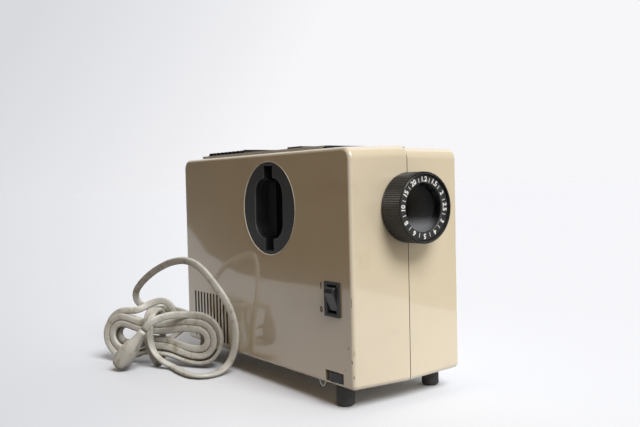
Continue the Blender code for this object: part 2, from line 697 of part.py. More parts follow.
def shell(side, word):
    """One casing half with its pillars, posts, shelf and openings."""
    piece = place(f"{word}_shell", shell_blank(side), "casing", smooth=False)
    solid = piece.modifiers.new("Wall", "SOLIDIFY")
    solid.thickness = CASE_WALL
    solid.offset = -1
    solid.use_even_offset = True
    pillars, pillar_bores = pillar_tools(side, word)
    post_x = side * POST_X
    floor_z = FOOT_HEIGHT + CASE_WALL
    posts = [
        ((post_x, case_y(back), floor_z - CASE_WALL / 2), (post_x, case_y(back), PLATE_Z - GAP))
        for back in POST_BACKS
    ]
    post_bores = [
        ((post_x, case_y(back), floor_z + JOIN), (post_x, case_y(back), PLATE_Z + OVERRUN))
        for back in POST_BACKS
    ]
    post_tool = helper(f"{word}_posts", cylinders(f"{word}_posts", posts, POST_RADIUS))
    foot_y = case_y(FRONT_FOOT_BACK)
    shelf_z = case_z(WINDOW_HIGH) + GAP
    shelf = helper(f"{word}_shelf", box(
        f"{word}_shelf",
        (side * (INNER_X + JOIN), foot_y - SHELF_LENGTH / 2, shelf_z),
        (side * (INNER_X - SHELF_DEPTH), foot_y + SHELF_LENGTH / 2, shelf_z + SHELF_THICKNESS),
    ))
    join(piece, pillars, post_tool, shelf)
    window = helper(f"{word}_wheel_window", box(
        f"{word}_wheel_window",
        (side * (INNER_X - JOIN), foot_y - WINDOW_LENGTH / 2, case_z(WINDOW_LOW)),
        (side * (SIDE_X + OVERRUN), foot_y + WINDOW_LENGTH / 2, case_z(WINDOW_HIGH)),
    ))
    stem_hole = helper(f"{word}_stem_hole", cylinder(
        f"{word}_stem_hole", (side * FOOT_X, foot_y, 0), (side * FOOT_X, foot_y, case_z(STEM_RISE)),
        STEM_RADIUS + SLIDE_CLEARANCE, FOOT_STEPS,
    ))
    rear_y = case_y(CASE_LENGTH - REAR_FOOT_INSET)
    stub_hole = helper(f"{word}_stub_hole", cylinder(
        f"{word}_stub_hole", (side * FOOT_X, rear_y, 0), (side * FOOT_X, rear_y, floor_z + OVERRUN),
        REAR_STUB_RADIUS + GAP, TINY_STEPS,
    ))
    lens_hole = helper(f"{word}_lens_hole", cylinder(
        f"{word}_lens_hole", (0, FRONT_Y - OVERRUN, OPTICAL_Z), (0, FRONT_Y + OVERRUN, OPTICAL_Z),
        BARREL_RADIUS + LENS_HOLE_CLEARANCE, HIDDEN_STEPS,
    ))
    port_hole = helper(f"{word}_port_hole", cylinder(
        f"{word}_port_hole", (side * (INNER_X - JOIN), PORT_Y, OPTICAL_Z),
        (side * (SIDE_X + OVERRUN), PORT_Y, OPTICAL_Z), PORT_RADIUS + GAP, ROUND_STEPS,
    ))
    top_hole = helper(f"{word}_top_hole", box(
        f"{word}_top_hole",
        (-side * OVERRUN, case_y(LOUVRE_FRONT) - TOP_OPENING_MARGIN, case_z(CASE_HEIGHT) - CASE_WALL - JOIN),
        (side * (COVER_WIDTH / 2 - LOUVRE_BORDER + TOP_OPENING_MARGIN),
         case_y(LOUVRE_REAR) + TOP_OPENING_MARGIN, case_z(CASE_HEIGHT) + OVERRUN),
    ))
    vent_ys = [case_y(VENT_FIRST_BACK + i * VENT_PITCH) for i in range(VENT_COUNT)]
    vents = helper(f"{word}_vents", boxes(f"{word}_vents", [
        ((side * (INNER_X - JOIN), y - VENT_WIDTH / 2, case_z(VENT_LOW)),
         (side * (SIDE_X + OVERRUN), y + VENT_WIDTH / 2, case_z(VENT_HIGH)))
        for y in vent_ys
    ]))
    post_bore = helper(f"{word}_post_bores", cylinders(f"{word}_post_bores", post_bores, PILLAR_BORE))
    cut(piece, pillar_bores, post_bore, window, stem_hole, stub_hole, lens_hole, port_hole, top_hole, vents)
    return piece


def left_shell():
    """The half with the switch, the cord hole and the wire eye."""
    piece = shell(-1, "left")
    switch_y, switch_z = case_y(SWITCH_BACK), case_z(SWITCH_HEIGHT)
    half_length = SWITCH_LENGTH / 2 - SWITCH_BODY_INSET + GAP
    half_tall = SWITCH_TALL / 2 - SWITCH_BODY_INSET + GAP
    switch_hole = helper("switch_hole", box(
        "switch_hole", (-SIDE_X - OVERRUN, switch_y - half_length, switch_z - half_tall),
        (-INNER_X + JOIN, switch_y + half_length, switch_z + half_tall),
    ))
    eye_x = EYE_SIDE - SIDE_X
    legs = [case_y(EYE_BACK) + share * EYE_WIDTH / 2 for share in (-1, 1)]
    eye_holes = helper("eye_holes", cylinders("eye_holes", [
        ((eye_x, y, FOOT_HEIGHT - OVERRUN), (eye_x, y, FOOT_HEIGHT + CASE_WALL + OVERRUN)) for y in legs
    ], EYE_WIRE + GAP, TINY_STEPS // 2))
    cord_hole = helper("cord_hole", cylinder(
        "cord_hole", (CORD_EXIT_X, case_y(CASE_LENGTH) - CASE_WALL - JOIN, CORD_EXIT_Z),
        (CORD_EXIT_X, case_y(CASE_LENGTH) + OVERRUN, CORD_EXIT_Z), RELIEF_NECK + GAP,
    ))
    return cut(piece, switch_hole, eye_holes, cord_hole)


def right_shell():
    """The half that takes the screw heads."""
    piece = shell(1, "right")
    sinks = [
        ((SIDE_X - COUNTERBORE_DEPTH, case_y(back), case_z(height)),
         (SIDE_X + OVERRUN, case_y(back), case_z(height)))
        for back, height in PILLAR_PLACES
    ]
    counterbores = cylinders("counterbores", sinks, COUNTERBORE_RADIUS, SMALL_STEPS)
    return cut(piece, helper("counterbores", counterbores))


def screws(name, places, axis, length):
    """Equal screws: each place is the underside of a head, the axis points from head to tip."""
    profile = [
        (0, length), (SCREW_RADIUS, length - SCREW_RADIUS), (SCREW_RADIUS, 0), (SCREW_HEAD_RADIUS, 0),
        (SCREW_HEAD_RADIUS, -SCREW_HEAD_HEIGHT), (0, -SCREW_HEAD_HEIGHT),
    ]
    for number, start in enumerate(places, 1):
        turned(f"{name}_{number}", profile, start, axis, "steel", TINY_STEPS, closed=False)


def casing_screws():
    """Four long screws, sunk in the right shell, that reach the left shell's pillars."""
    head_x = SIDE_X - COUNTERBORE_DEPTH + GAP
    places = [(head_x, case_y(back), case_z(height)) for back, height in PILLAR_PLACES]
    screws("casing_screw", places, (-1, 0, 0), head_x + PILLAR_DEPTH - PILLAR_RADIUS)


def chassis_screws():
    places = [
        (side * POST_X, case_y(back), PLATE_TOP + GAP)
        for side in (-1, 1) for back in POST_BACKS
    ]
    screws("chassis_screw", places, (0, 0, -1), PLATE_LOW - CASE_WALL - POST_RADIUS)


def chassis_plate():
    """Bent sheet plate on four posts, its long edges turned up."""
    low = (-PLATE_WIDTH / 2, case_y(PLATE_FRONT), PLATE_Z)
    high = (PLATE_WIDTH / 2, case_y(PLATE_REAR), PLATE_TOP)
    piece = place("chassis_plate", box("chassis_plate", low, high), "steel", smooth=False)
    for side, word in ((-1, "left"), (1, "right")):
        edge = side * PLATE_WIDTH / 2
        join(piece, helper(f"plate_lip_{word}", box(
            f"plate_lip_{word}", (edge, case_y(PLATE_FRONT), PLATE_Z),
            (edge - side * PLATE_THICKNESS, case_y(PLATE_REAR), PLATE_TOP + PLATE_LIP),
        )))
    holes = [
        ((side * POST_X, case_y(back), PLATE_Z - OVERRUN),
         (side * POST_X, case_y(back), PLATE_TOP + OVERRUN))
        for side in (-1, 1) for back in POST_BACKS
    ]
    cut(piece, helper("plate_holes", cylinders("plate_holes", holes, SCREW_CLEARANCE)))
    return piece


def slide_port(side, word):
    """Moulded port: a disc flush with the side face, with a finger recess and the slide carrier's slot."""
    depth = CASE_WALL + GAP + PORT_FLANGE_THICKNESS
    profile = [
        (0, depth), (PORT_RADIUS + PORT_FLANGE, depth), (PORT_RADIUS + PORT_FLANGE, CASE_WALL + GAP),
        (PORT_RADIUS, CASE_WALL + GAP), (PORT_RADIUS, PORT_CHAMFER), (PORT_RADIUS - PORT_CHAMFER, 0), (0, 0),
    ]
    start = (side * SIDE_X, PORT_Y, OPTICAL_Z)
    piece = turned(f"slide_port_{word}", profile, start, (-side, 0, 0), "black_plastic", closed=False)
    cup_end = SIDE_X - RECESS_DEPTH - RECESS_WALL
    outer = obround(RECESS_LENGTH + 2 * RECESS_WALL, RECESS_HEIGHT + 2 * RECESS_WALL)
    cup = helper(f"port_cup_{word}", side_prism("cup", outer, side, cup_end, SIDE_X - depth + JOIN))
    guide = helper(f"port_guide_{word}", box(
        "guide",
        (side * cup_end, PORT_Y - SLOT_WIDTH / 2 - RECESS_WALL, OPTICAL_Z - SLOT_HEIGHT / 2 - RECESS_WALL),
        (side * (SIDE_X - depth + JOIN), PORT_Y + SLOT_WIDTH / 2 + RECESS_WALL,
         OPTICAL_Z + SLOT_HEIGHT / 2 + RECESS_WALL),
    ))
    join(piece, cup, guide)
    wide = obround(RECESS_LENGTH, RECESS_HEIGHT)
    narrow = obround(RECESS_LENGTH - 2 * RECESS_STEP, RECESS_HEIGHT - 2 * RECESS_STEP)
    mouth = helper(f"port_mouth_{word}", side_prism(
        "mouth", wide, side, SIDE_X - RECESS_STEP_DEPTH, SIDE_X + OVERRUN))
    recess = helper(f"port_recess_{word}", side_prism(
        "recess", narrow, side, SIDE_X - RECESS_DEPTH, SIDE_X + OVERRUN))
    slot = helper(f"port_slot_{word}", box(
        "slot",
        (side * (cup_end - OVERRUN), PORT_Y - SLOT_WIDTH / 2, OPTICAL_Z - SLOT_HEIGHT / 2),
        (side * (SIDE_X + OVERRUN), PORT_Y + SLOT_WIDTH / 2, OPTICAL_Z + SLOT_HEIGHT / 2),
    ))
    return cut(piece, mouth, recess, slot)


def slide_channel():
    """Rectangular duct between the two ports, with the gate windows on the optical axis."""
    end = SIDE_X - RECESS_DEPTH - RECESS_WALL - GAP
    half_width = SLOT_WIDTH / 2 + CHANNEL_WALL
    half_height = SLOT_HEIGHT / 2 + CHANNEL_WALL
    piece = place("slide_channel", box(
        "slide_channel", (-end, PORT_Y - half_width, OPTICAL_Z - half_height),
        (end, PORT_Y + half_width, OPTICAL_Z + half_height),
    ), "black_metal", smooth=False)
    bore = helper("channel_bore", box(
        "channel_bore", (-end - OVERRUN, PORT_Y - SLOT_WIDTH / 2, OPTICAL_Z - SLOT_HEIGHT / 2),
        (end + OVERRUN, PORT_Y + SLOT_WIDTH / 2, OPTICAL_Z + SLOT_HEIGHT / 2),
    ))
    window = helper("gate_window", box(
        "gate_window", (-GATE_WINDOW / 2, PORT_Y - half_width - OVERRUN, OPTICAL_Z - GATE_WINDOW / 2),
        (GATE_WINDOW / 2, PORT_Y + half_width + OVERRUN, OPTICAL_Z + GATE_WINDOW / 2),
    ))
    return cut(piece, bore, window)


def dome(radius, rise, steps=4):
    """Radius and height shares of a shallow cap, from its edge to its top."""
    return [(radius * (1 - i / steps), rise * (1 - (1 - i / steps) ** 2)) for i in range(steps + 1)]


def lens_profile(radius, edge, near_rise, far_rise):
    """Profile of a lens whose edge starts at distance 0: the near side bulges to negative distances."""
    far = [(r, edge + h) for r, h in dome(radius, far_rise)] if far_rise else [(radius, edge), (0, edge)]
    near = [(r, -h) for r, h in dome(radius, near_rise)] if near_rise else [(radius, 0), (0, 0)]
    return far[::-1] + near


BARREL_FRONT = LENS_REACH - NAME_RING_RECESS - NAME_RING_THICKNESS - GAP
SEAT_RADIUS = BARREL_RADIUS - BARREL_SEAT
BARREL_INNER = BARREL_RADIUS - BARREL_WALL


def lens_barrel():
    """Lens tube: a seat for the front glass, a conical baffle behind it and a seat for the rear glass."""
    rear_seat = BARREL_LENGTH - REAR_SEAT_DEPTH
    profile = [
        (BARREL_RADIUS, BARREL_LENGTH), (BARREL_RADIUS, 0), (SEAT_RADIUS, 0),
        (SEAT_RADIUS, BARREL_SEAT_DEPTH), (BARREL_INNER - BAFFLE_WALL, BARREL_SEAT_DEPTH),
        (BAFFLE_RADIUS, BARREL_SEAT_DEPTH + BAFFLE_LENGTH),
        (BARREL_INNER, BARREL_SEAT_DEPTH + BAFFLE_LENGTH + BAFFLE_WALL),
        (BARREL_INNER, rear_seat - REAR_LIP), (BARREL_INNER - REAR_LIP, rear_seat - REAR_LIP),
        (BARREL_INNER - REAR_LIP, rear_seat), (BARREL_INNER, rear_seat), (BARREL_INNER, BARREL_LENGTH),
    ]
    start = (0, case_y(-BARREL_FRONT), OPTICAL_Z)
    return turned("lens_barrel", profile, start, (0, 1, 0), "black_metal", HIDDEN_STEPS)


def front_glass():
    edge = BARREL_SEAT_DEPTH - GAP - FRONT_GLASS_DOME - GAP
    start = (0, case_y(-BARREL_FRONT + FRONT_GLASS_DOME + GAP), OPTICAL_Z)
    profile = lens_profile(SEAT_RADIUS - GAP, edge, FRONT_GLASS_DOME, 0)
    return turned("front_glass", profile, start, (0, 1, 0), "glass", HIDDEN_STEPS, closed=False)


def rear_glass():
    rear_seat = BARREL_LENGTH - REAR_SEAT_DEPTH
    start = (0, case_y(-BARREL_FRONT + rear_seat + GAP), OPTICAL_Z)
    profile = lens_profile(BARREL_INNER - GAP, REAR_GLASS_THICKNESS, 0, REAR_GLASS_DOME)
    return turned("rear_glass", profile, start, (0, 1, 0), "glass", HIDDEN_STEPS, closed=False)


def name_ring():
    """Flat ring in front of the barrel that carries plain numbers and ticks."""
    outer = RING_RADIUS - RING_WALL - GAP
    profile = [
        (outer, NAME_RING_THICKNESS), (outer, 0), (NAME_RING_INNER + RING_CHAMFER, 0),
        (NAME_RING_INNER, RING_CHAMFER), (NAME_RING_INNER, NAME_RING_THICKNESS),
    ]
    start = (0, case_y(NAME_RING_RECESS - LENS_REACH), OPTICAL_Z)
    return turned("name_ring", profile, start, (0, 1, 0), "black_plastic", HIDDEN_STEPS)


def circle(radius, count):
    return [(radius * cos(2 * pi * i / count), radius * sin(2 * pi * i / count)) for i in range(count)]


def knurled_outline(radius, depth, ribs):
    """Alternating high and low points round a circle."""
    return [
        ((radius - depth * (i % 2)) * cos(pi * i / ribs), (radius - depth * (i % 2)) * sin(pi * i / ribs))
        for i in range(2 * ribs)
    ]


def focus_ring():
    """Knurled ring that turns on the barrel and drives it in and out."""
    length = LENS_REACH - RING_BACK_GAP
    inner = RING_RADIUS - RING_WALL
    core = RING_RADIUS - RING_KNURL_DEPTH - RING_KNURL_ROOT
    profile = [
        (core - RING_CHAMFER, length), (core, length - RING_CHAMFER), (core, 0), (BARREL_RADIUS + GAP, 0),
        (BARREL_RADIUS + GAP, RING_HUB_LENGTH), (inner, RING_HUB_LENGTH),
        (inner, length - NAME_RING_RECESS), (core - RING_LIP, length),
    ]
    start = (0, case_y(-RING_BACK_GAP), OPTICAL_Z)
    piece = turned("focus_ring", profile, start, (0, -1, 0), "black_plastic", HIDDEN_STEPS)
    band = outline_prism(
        "knurls", length - RING_CHAMFER, knurled_outline(RING_RADIUS, RING_KNURL_DEPTH, RING_KNURL_COUNT),
        circle(core - RING_KNURL_ROOT, HIDDEN_STEPS),
    )
    band.transform(Matrix.Translation(start) @ axis_matrix((0, -1, 0)))
    return join(piece, helper("knurl_band", band))


def lens_sleeve():
    """Guide tube behind the front wall, in which the barrel slides."""
    inner = BARREL_RADIUS + SLIDE_CLEARANCE
    outer = inner + SLEEVE_WALL
    profile = [
        (outer, SLEEVE_LENGTH), (outer, SLEEVE_FLANGE_THICKNESS),
        (outer + SLEEVE_FLANGE, SLEEVE_FLANGE_THICKNESS), (outer + SLEEVE_FLANGE, 0), (inner, 0),
        (inner, SLEEVE_LENGTH),
    ]
    start = (0, case_y(CASE_WALL + GAP), OPTICAL_Z)
    return turned("lens_sleeve", profile, start, (0, 1, 0), "black_metal", HIDDEN_STEPS)


def lens_support():
    """Bent bracket on the chassis plate, its top hollowed to cradle the sleeve."""
    front = case_y(SUPPORT_BACK)
    low = PLATE_TOP + GAP
    piece = place("lens_support", box(
        "lens_support", (-SUPPORT_WIDTH / 2, front, low),
        (SUPPORT_WIDTH / 2, front + SUPPORT_THICKNESS, OPTICAL_Z - BARREL_WALL),
    ), "steel", smooth=False)
    join(piece, helper("support_foot", box(
        "support_foot", (-SUPPORT_WIDTH / 2, front, low),
        (SUPPORT_WIDTH / 2, front + SUPPORT_FOOT, low + SUPPORT_THICKNESS),
    )))
    radius = BARREL_RADIUS + SLIDE_CLEARANCE + SLEEVE_WALL + GAP
    return cut(piece, helper("support_cradle", cylinder(
        "support_cradle", (0, front - OVERRUN, OPTICAL_Z), (0, front + SUPPORT_FOOT + OVERRUN, OPTICAL_Z),
        radius, HIDDEN_STEPS,
    )))


CONDENSER_RADIUS = CELL_INNER - GAP
FRONT_LENS_AT = CONDENSER_FRONT_THICKNESS - CONDENSER_EDGE + GAP
FIRST_RIB_AT = FRONT_LENS_AT + CONDENSER_EDGE + GAP
FILTER_AT = FIRST_RIB_AT + CELL_RIB_LENGTH + GAP
SECOND_RIB_AT = FILTER_AT + FILTER_THICKNESS + GAP
REAR_LENS_AT = SECOND_RIB_AT + CELL_RIB_LENGTH + GAP
CELL_LENGTH = REAR_LENS_AT + CONDENSER_REAR_THICKNESS + CELL_END


def condenser_cell():
    """Tube through the lamp house's front wall, with two ribs that keep the glasses apart."""
    outer = CELL_INNER + CELL_WALL
    flange_far = HOUSE_FRONT - GAP - CELL_FRONT
    profile = [
        (outer, CELL_LENGTH), (outer, flange_far), (outer + CELL_FLANGE, flange_far),
        (outer + CELL_FLANGE, flange_far - CELL_FLANGE_THICKNESS),
        (outer, flange_far - CELL_FLANGE_THICKNESS), (outer, 0), (CELL_INNER, 0),
    ]
    for rib in (FIRST_RIB_AT, SECOND_RIB_AT):
        profile += [
            (CELL_INNER, rib), (CELL_INNER - CELL_RIB, rib),
            (CELL_INNER - CELL_RIB, rib + CELL_RIB_LENGTH), (CELL_INNER, rib + CELL_RIB_LENGTH),
        ]
    profile.append((CELL_INNER, CELL_LENGTH))
    start = (0, case_y(CELL_FRONT), OPTICAL_Z)
    return turned("condenser_cell", profile, start, (0, 1, 0), "aluminium", SMALL_STEPS)


def condenser_glasses():
    """Two plano-convex condenser lenses with the heat filter between them."""
    near = lens_profile(CONDENSER_RADIUS, CONDENSER_EDGE, CONDENSER_FRONT_THICKNESS - CONDENSER_EDGE, 0)
    flat = lens_profile(CONDENSER_RADIUS, FILTER_THICKNESS, 0, 0)
    far = lens_profile(CONDENSER_RADIUS, CONDENSER_EDGE, 0, CONDENSER_REAR_THICKNESS - CONDENSER_EDGE)
    for name, profile, along, kind in (
        ("condenser_front", near, FRONT_LENS_AT, "glass"),
        ("heat_filter", flat, FILTER_AT, "heat_glass"),
        ("condenser_rear", far, REAR_LENS_AT, "glass"),
    ):
        start = (0, case_y(CELL_FRONT + along), OPTICAL_Z)
        turned(name, profile, start, (0, 1, 0), kind, SMALL_STEPS, closed=False)


def lamp_house():
    """Sheet duct round the lamp: open above and below, with air inlets near the plate."""
    front, rear = case_y(HOUSE_FRONT), case_y(HOUSE_REAR)
    half = HOUSE_WIDTH / 2
    low, high = PLATE_TOP + GAP, case_z(HOUSE_TOP)
    bm = bmesh.new()
    box_into(bm, (-half, front, low), (half, rear, high))
    bmesh.ops.recalc_face_normals(bm, faces=bm.faces)
    ends = [f for f in bm.faces if abs(f.normal.z) > 0.5]
    bmesh.ops.delete(bm, geom=ends, context="FACES_ONLY")
    mesh = bpy.data.meshes.new("lamp_house")
    bm.to_mesh(mesh)
    bm.free()
    piece = place("lamp_house", mesh, "aluminium", smooth=False)
    solid = piece.modifiers.new("Sheet", "SOLIDIFY")
    solid.thickness = HOUSE_WALL
    solid.offset = -1
    solid.use_even_offset = True
    hole = helper("cell_hole", cylinder(
        "cell_hole", (0, front - OVERRUN, OPTICAL_Z), (0, front + OVERRUN, OPTICAL_Z),
        CELL_INNER + CELL_WALL + GAP, SMALL_STEPS,
    ))
    inlet = helper("air_inlet", box(
        "air_inlet", (-half - OVERRUN, front + INLET_MARGIN, case_z(INLET_LOW)),
        (half + OVERRUN, rear - INLET_MARGIN, case_z(INLET_HIGH)),
    ))
    return cut(piece, hole, inlet)


HOLDER_TOP = OPTICAL_Z - BULB_LENGTH / 2 - BULB_PINCH + HOLDER_POCKET


def lamp_bulb():
    """Bulb with a rounded tip above and a narrow pinch below, its middle on the optical axis."""
    pinch_low = OPTICAL_Z - BULB_LENGTH / 2 - BULB_PINCH
    tip = [(r, BULB_PINCH + BULB_LENGTH - BULB_TIP + h) for r, h in dome(BULB_RADIUS, BULB_TIP)]
    profile = tip[::-1] + [
        (BULB_RADIUS, BULB_PINCH + BULB_TIP), (BULB_PINCH_RADIUS, BULB_PINCH), (BULB_PINCH_RADIUS, 0), (0, 0),
    ]
    start = (0, case_y(LAMP_BACK), pinch_low)
    return turned("lamp_bulb", profile, start, (0, 0, 1), "glass", FOOT_STEPS, closed=False)


def lampholder():
    """Ceramic block with the pocket that takes the bulb's pinch."""
    y = case_y(LAMP_BACK)
    piece = place("lampholder", box(
        "lampholder", (-HOLDER_WIDTH / 2, y - HOLDER_LENGTH / 2, HOLDER_TOP - HOLDER_HEIGHT),
        (HOLDER_WIDTH / 2, y + HOLDER_LENGTH / 2, HOLDER_TOP), HOLDER_BEVEL, 1,
    ), "ceramic", smooth=False)
    return cut(piece, helper("bulb_pocket", cylinder(
        "bulb_pocket", (0, y, HOLDER_TOP - HOLDER_POCKET - GAP), (0, y, HOLDER_TOP + OVERRUN),
        BULB_PINCH_RADIUS + GAP,
    )))


def lamp_carrier():
    """Bent bracket from the lamp house's rear wall, under the lampholder."""
    top = HOLDER_TOP - HOLDER_HEIGHT - GAP
    rear = case_y(HOUSE_REAR) - HOUSE_WALL - GAP
    piece = place("lamp_carrier", box(
        "lamp_carrier", (-CARRIER_WIDTH / 2, case_y(LAMP_BACK) - CARRIER_FRONT, top - CARRIER_THICKNESS),
        (CARRIER_WIDTH / 2, rear, top),
    ), "steel", smooth=False)
    return join(piece, helper("carrier_lip", box(
        "carrier_lip", (-CARRIER_WIDTH / 2, rear - CARRIER_THICKNESS, top - CARRIER_LIP),
        (CARRIER_WIDTH / 2, rear, top),
    )))


def reflector():
    """Spherical mirror centred on the lamp, with a stem to the lamp house's rear wall."""
    steps = 4
    spread = REFLECTOR_RADIUS / REFLECTOR_FOCUS
    angles = [spread * i / steps for i in range(steps + 1)]
    inner = [(REFLECTOR_FOCUS * sin(a), REFLECTOR_FOCUS * cos(a)) for a in angles]
    far = REFLECTOR_FOCUS + REFLECTOR_WALL
    outer = [(far * sin(a), far * cos(a)) for a in angles if far * sin(a) > REFLECTOR_STEM]
    stem_far = HOUSE_REAR - HOUSE_WALL - GAP - LAMP_BACK
    stem_near = sqrt(far ** 2 - REFLECTOR_STEM ** 2)
    profile = [(0, stem_far), (REFLECTOR_STEM, stem_far), (REFLECTOR_STEM, stem_near)] + outer + inner[::-1]
    start = (0, case_y(LAMP_BACK), OPTICAL_Z)
    return turned("reflector", profile, start, (0, 1, 0), "aluminium", SMALL_STEPS, closed=False)


def fan_motor():
    """Round motor on the plate with a bearing nose above."""
    top = MOTOR_HEIGHT + MOTOR_BEARING_RISE
    bore = SHAFT_RADIUS + GAP
    profile = [
        (0, top - MOTOR_BORE_DEPTH), (bore, top - MOTOR_BORE_DEPTH), (bore, top), (MOTOR_BEARING, top),
        (MOTOR_BEARING, MOTOR_HEIGHT), (MOTOR_RADIUS, MOTOR_HEIGHT), (MOTOR_RADIUS, MOTOR_FLANGE_THICKNESS),
        (MOTOR_RADIUS + MOTOR_FLANGE, MOTOR_FLANGE_THICKNESS), (MOTOR_RADIUS + MOTOR_FLANGE, 0), (0, 0),
    ]
    start = (0, case_y(FAN_BACK), PLATE_TOP + GAP)
    return turned("fan_motor", profile, start, (0, 0, 1), "steel", SMALL_STEPS, closed=False)


def fan_rotor():
    """Hub cap on its shaft, with pitched blades."""
    y = case_y(FAN_BACK)
    motor_top = PLATE_TOP + GAP + MOTOR_HEIGHT + MOTOR_BEARING_RISE
    shaft_low = motor_top - MOTOR_BORE_DEPTH + GAP
    hub_low = case_z(ROTOR_LOW)
    hub_high = hub_low + ROTOR_HEIGHT
    profile = [
        (0, hub_high - shaft_low), (ROTOR_HUB - ROTOR_HUB_WALL, hub_high - shaft_low),
        (ROTOR_HUB, hub_high - ROTOR_HUB_WALL - shaft_low), (ROTOR_HUB, hub_low - shaft_low),
        (SHAFT_RADIUS, hub_low - shaft_low), (SHAFT_RADIUS, 0), (0, 0),
    ]
    start = (0, y, shaft_low)
    piece = turned("fan_rotor", profile, start, (0, 0, 1), "grey_plastic", SMALL_STEPS, closed=False)
    blades = bmesh.new()
    middle = hub_low + ROTOR_HEIGHT / 2
    half = Vector((0, ROTOR_BLADE_CHORD / 2, ROTOR_BLADE / 2))
    for i in range(ROTOR_BLADES):
        verts = box_into(blades, (ROTOR_HUB - JOIN, -half.y, -half.z), (ROTOR_RADIUS, half.y, half.z))
        turn = (
            Matrix.Translation((0, y, middle)) @ Matrix.Rotation(2 * pi * i / ROTOR_BLADES, 4, "Z")
            @ Matrix.Rotation(ROTOR_PITCH, 4, "X")
        )
        bmesh.ops.transform(blades, matrix=turn, verts=verts)
    return join(piece, helper("rotor_blades", mesh_from(blades, "rotor_blades")))


def transformer():
    """Laminated core with two windows, standing on its foot flange, and the winding on its middle leg."""
    y = case_y(CORE_BACK)
    low = PLATE_TOP + GAP
    middle = low + CORE_HEIGHT / 2
    core = place("transformer_core", box(
        "transformer_core", (-CORE_WIDTH / 2, y - CORE_DEPTH / 2, low),
        (CORE_WIDTH / 2, y + CORE_DEPTH / 2, low + CORE_HEIGHT),
    ), "steel", smooth=False)
    join(core, helper("core_foot", box(
        "core_foot", (-CORE_WIDTH / 2 - CORE_FOOT, y - CORE_DEPTH / 2, low),
        (CORE_WIDTH / 2 + CORE_FOOT, y + CORE_DEPTH / 2, low + CORE_FOOT_THICKNESS),
    )))
    leg = CORE_WIDTH / 6
    cut(core, helper("core_windows", boxes("core_windows", [
        ((side * leg, y - CORE_DEPTH / 2 - OVERRUN, middle - CORE_WINDOW_HEIGHT / 2),
         (side * (leg + CORE_WINDOW_WIDTH), y + CORE_DEPTH / 2 + OVERRUN, middle + CORE_WINDOW_HEIGHT / 2))
        for side in (-1, 1)
    ])))
    half = Vector((
        leg + CORE_WINDOW_WIDTH - GAP, CORE_DEPTH / 2 + WINDING_PROUD, CORE_WINDOW_HEIGHT / 2 - GAP,
    ))
    winding = place("transformer_winding", box(
        "transformer_winding", (-half.x, y - half.y, middle - half.z), (half.x, y + half.y, middle + half.z),
        WINDING_CORNER,
    ), "copper")
    cut(winding, helper("winding_bore", box(
        "winding_bore", (-leg - GAP, y - CORE_DEPTH / 2 - GAP, middle - half.z - OVERRUN),
        (leg + GAP, y + CORE_DEPTH / 2 + GAP, middle + half.z + OVERRUN),
    )))


def terminal_block():
    """Three-way block on the plate beside the cord's entry."""
    x, y, low = -BLOCK_SIDE, case_y(BLOCK_BACK), PLATE_TOP + GAP
    piece = place("terminal_block", box(
        "terminal_block", (x - BLOCK_WIDTH / 2, y - BLOCK_LENGTH / 2, low),
        (x + BLOCK_WIDTH / 2, y + BLOCK_LENGTH / 2, low + BLOCK_HEIGHT),
    ), "ceramic", smooth=False)
    step = BLOCK_WIDTH / BLOCK_WAYS
    pits = [
        ((x + (i - (BLOCK_WAYS - 1) / 2) * step, y, low + BLOCK_HEIGHT - BLOCK_SCREW_DEPTH),
         (x + (i - (BLOCK_WAYS - 1) / 2) * step, y, low + BLOCK_HEIGHT + OVERRUN))
        for i in range(BLOCK_WAYS)
    ]
    return cut(piece, helper("block_pits", cylinders("block_pits", pits, BLOCK_SCREW_RADIUS)))


SWITCH_FACE_X = -SIDE_X - GAP - SWITCH_PROUD


def switch_body():
    """Snap-in switch body with a frame on the side face, a well for the rocker and three blades behind."""
    y, z = case_y(SWITCH_BACK), case_z(SWITCH_HEIGHT)
    piece = place("switch_body", box(
        "switch_body", (SWITCH_FACE_X, y - SWITCH_LENGTH / 2, z - SWITCH_TALL / 2),
        (-SIDE_X - GAP, y + SWITCH_LENGTH / 2, z + SWITCH_TALL / 2),
    ), "black_plastic", smooth=False)
    half_length = SWITCH_LENGTH / 2 - SWITCH_BODY_INSET
    half_tall = SWITCH_TALL / 2 - SWITCH_BODY_INSET
    back_x = SWITCH_FACE_X + SWITCH_BODY_DEPTH
    block = helper("switch_block", box(
        "switch_block", (SWITCH_FACE_X + SWITCH_PROUD / 2, y - half_length, z - half_tall),
        (back_x, y + half_length, z + half_tall),
    ))
    blade_zs = [z + step * half_tall / 2 for step in (-1, 0, 1)]
    blades = helper("switch_blades", boxes("switch_blades", [
        ((back_x - JOIN, y - TERMINAL_WIDTH / 2, blade_z - TERMINAL_THICKNESS / 2),
         (back_x + TERMINAL_LENGTH, y + TERMINAL_WIDTH / 2, blade_z + TERMINAL_THICKNESS / 2))
        for blade_z in blade_zs
    ]))
    join(piece, block, blades)
    return cut(piece, helper("switch_well", box(
        "switch_well", (SWITCH_FACE_X - OVERRUN, y - WELL_LENGTH / 2, z - WELL_TALL / 2),
        (SWITCH_FACE_X + WELL_DEPTH, y + WELL_LENGTH / 2, z + WELL_TALL / 2),
    )))


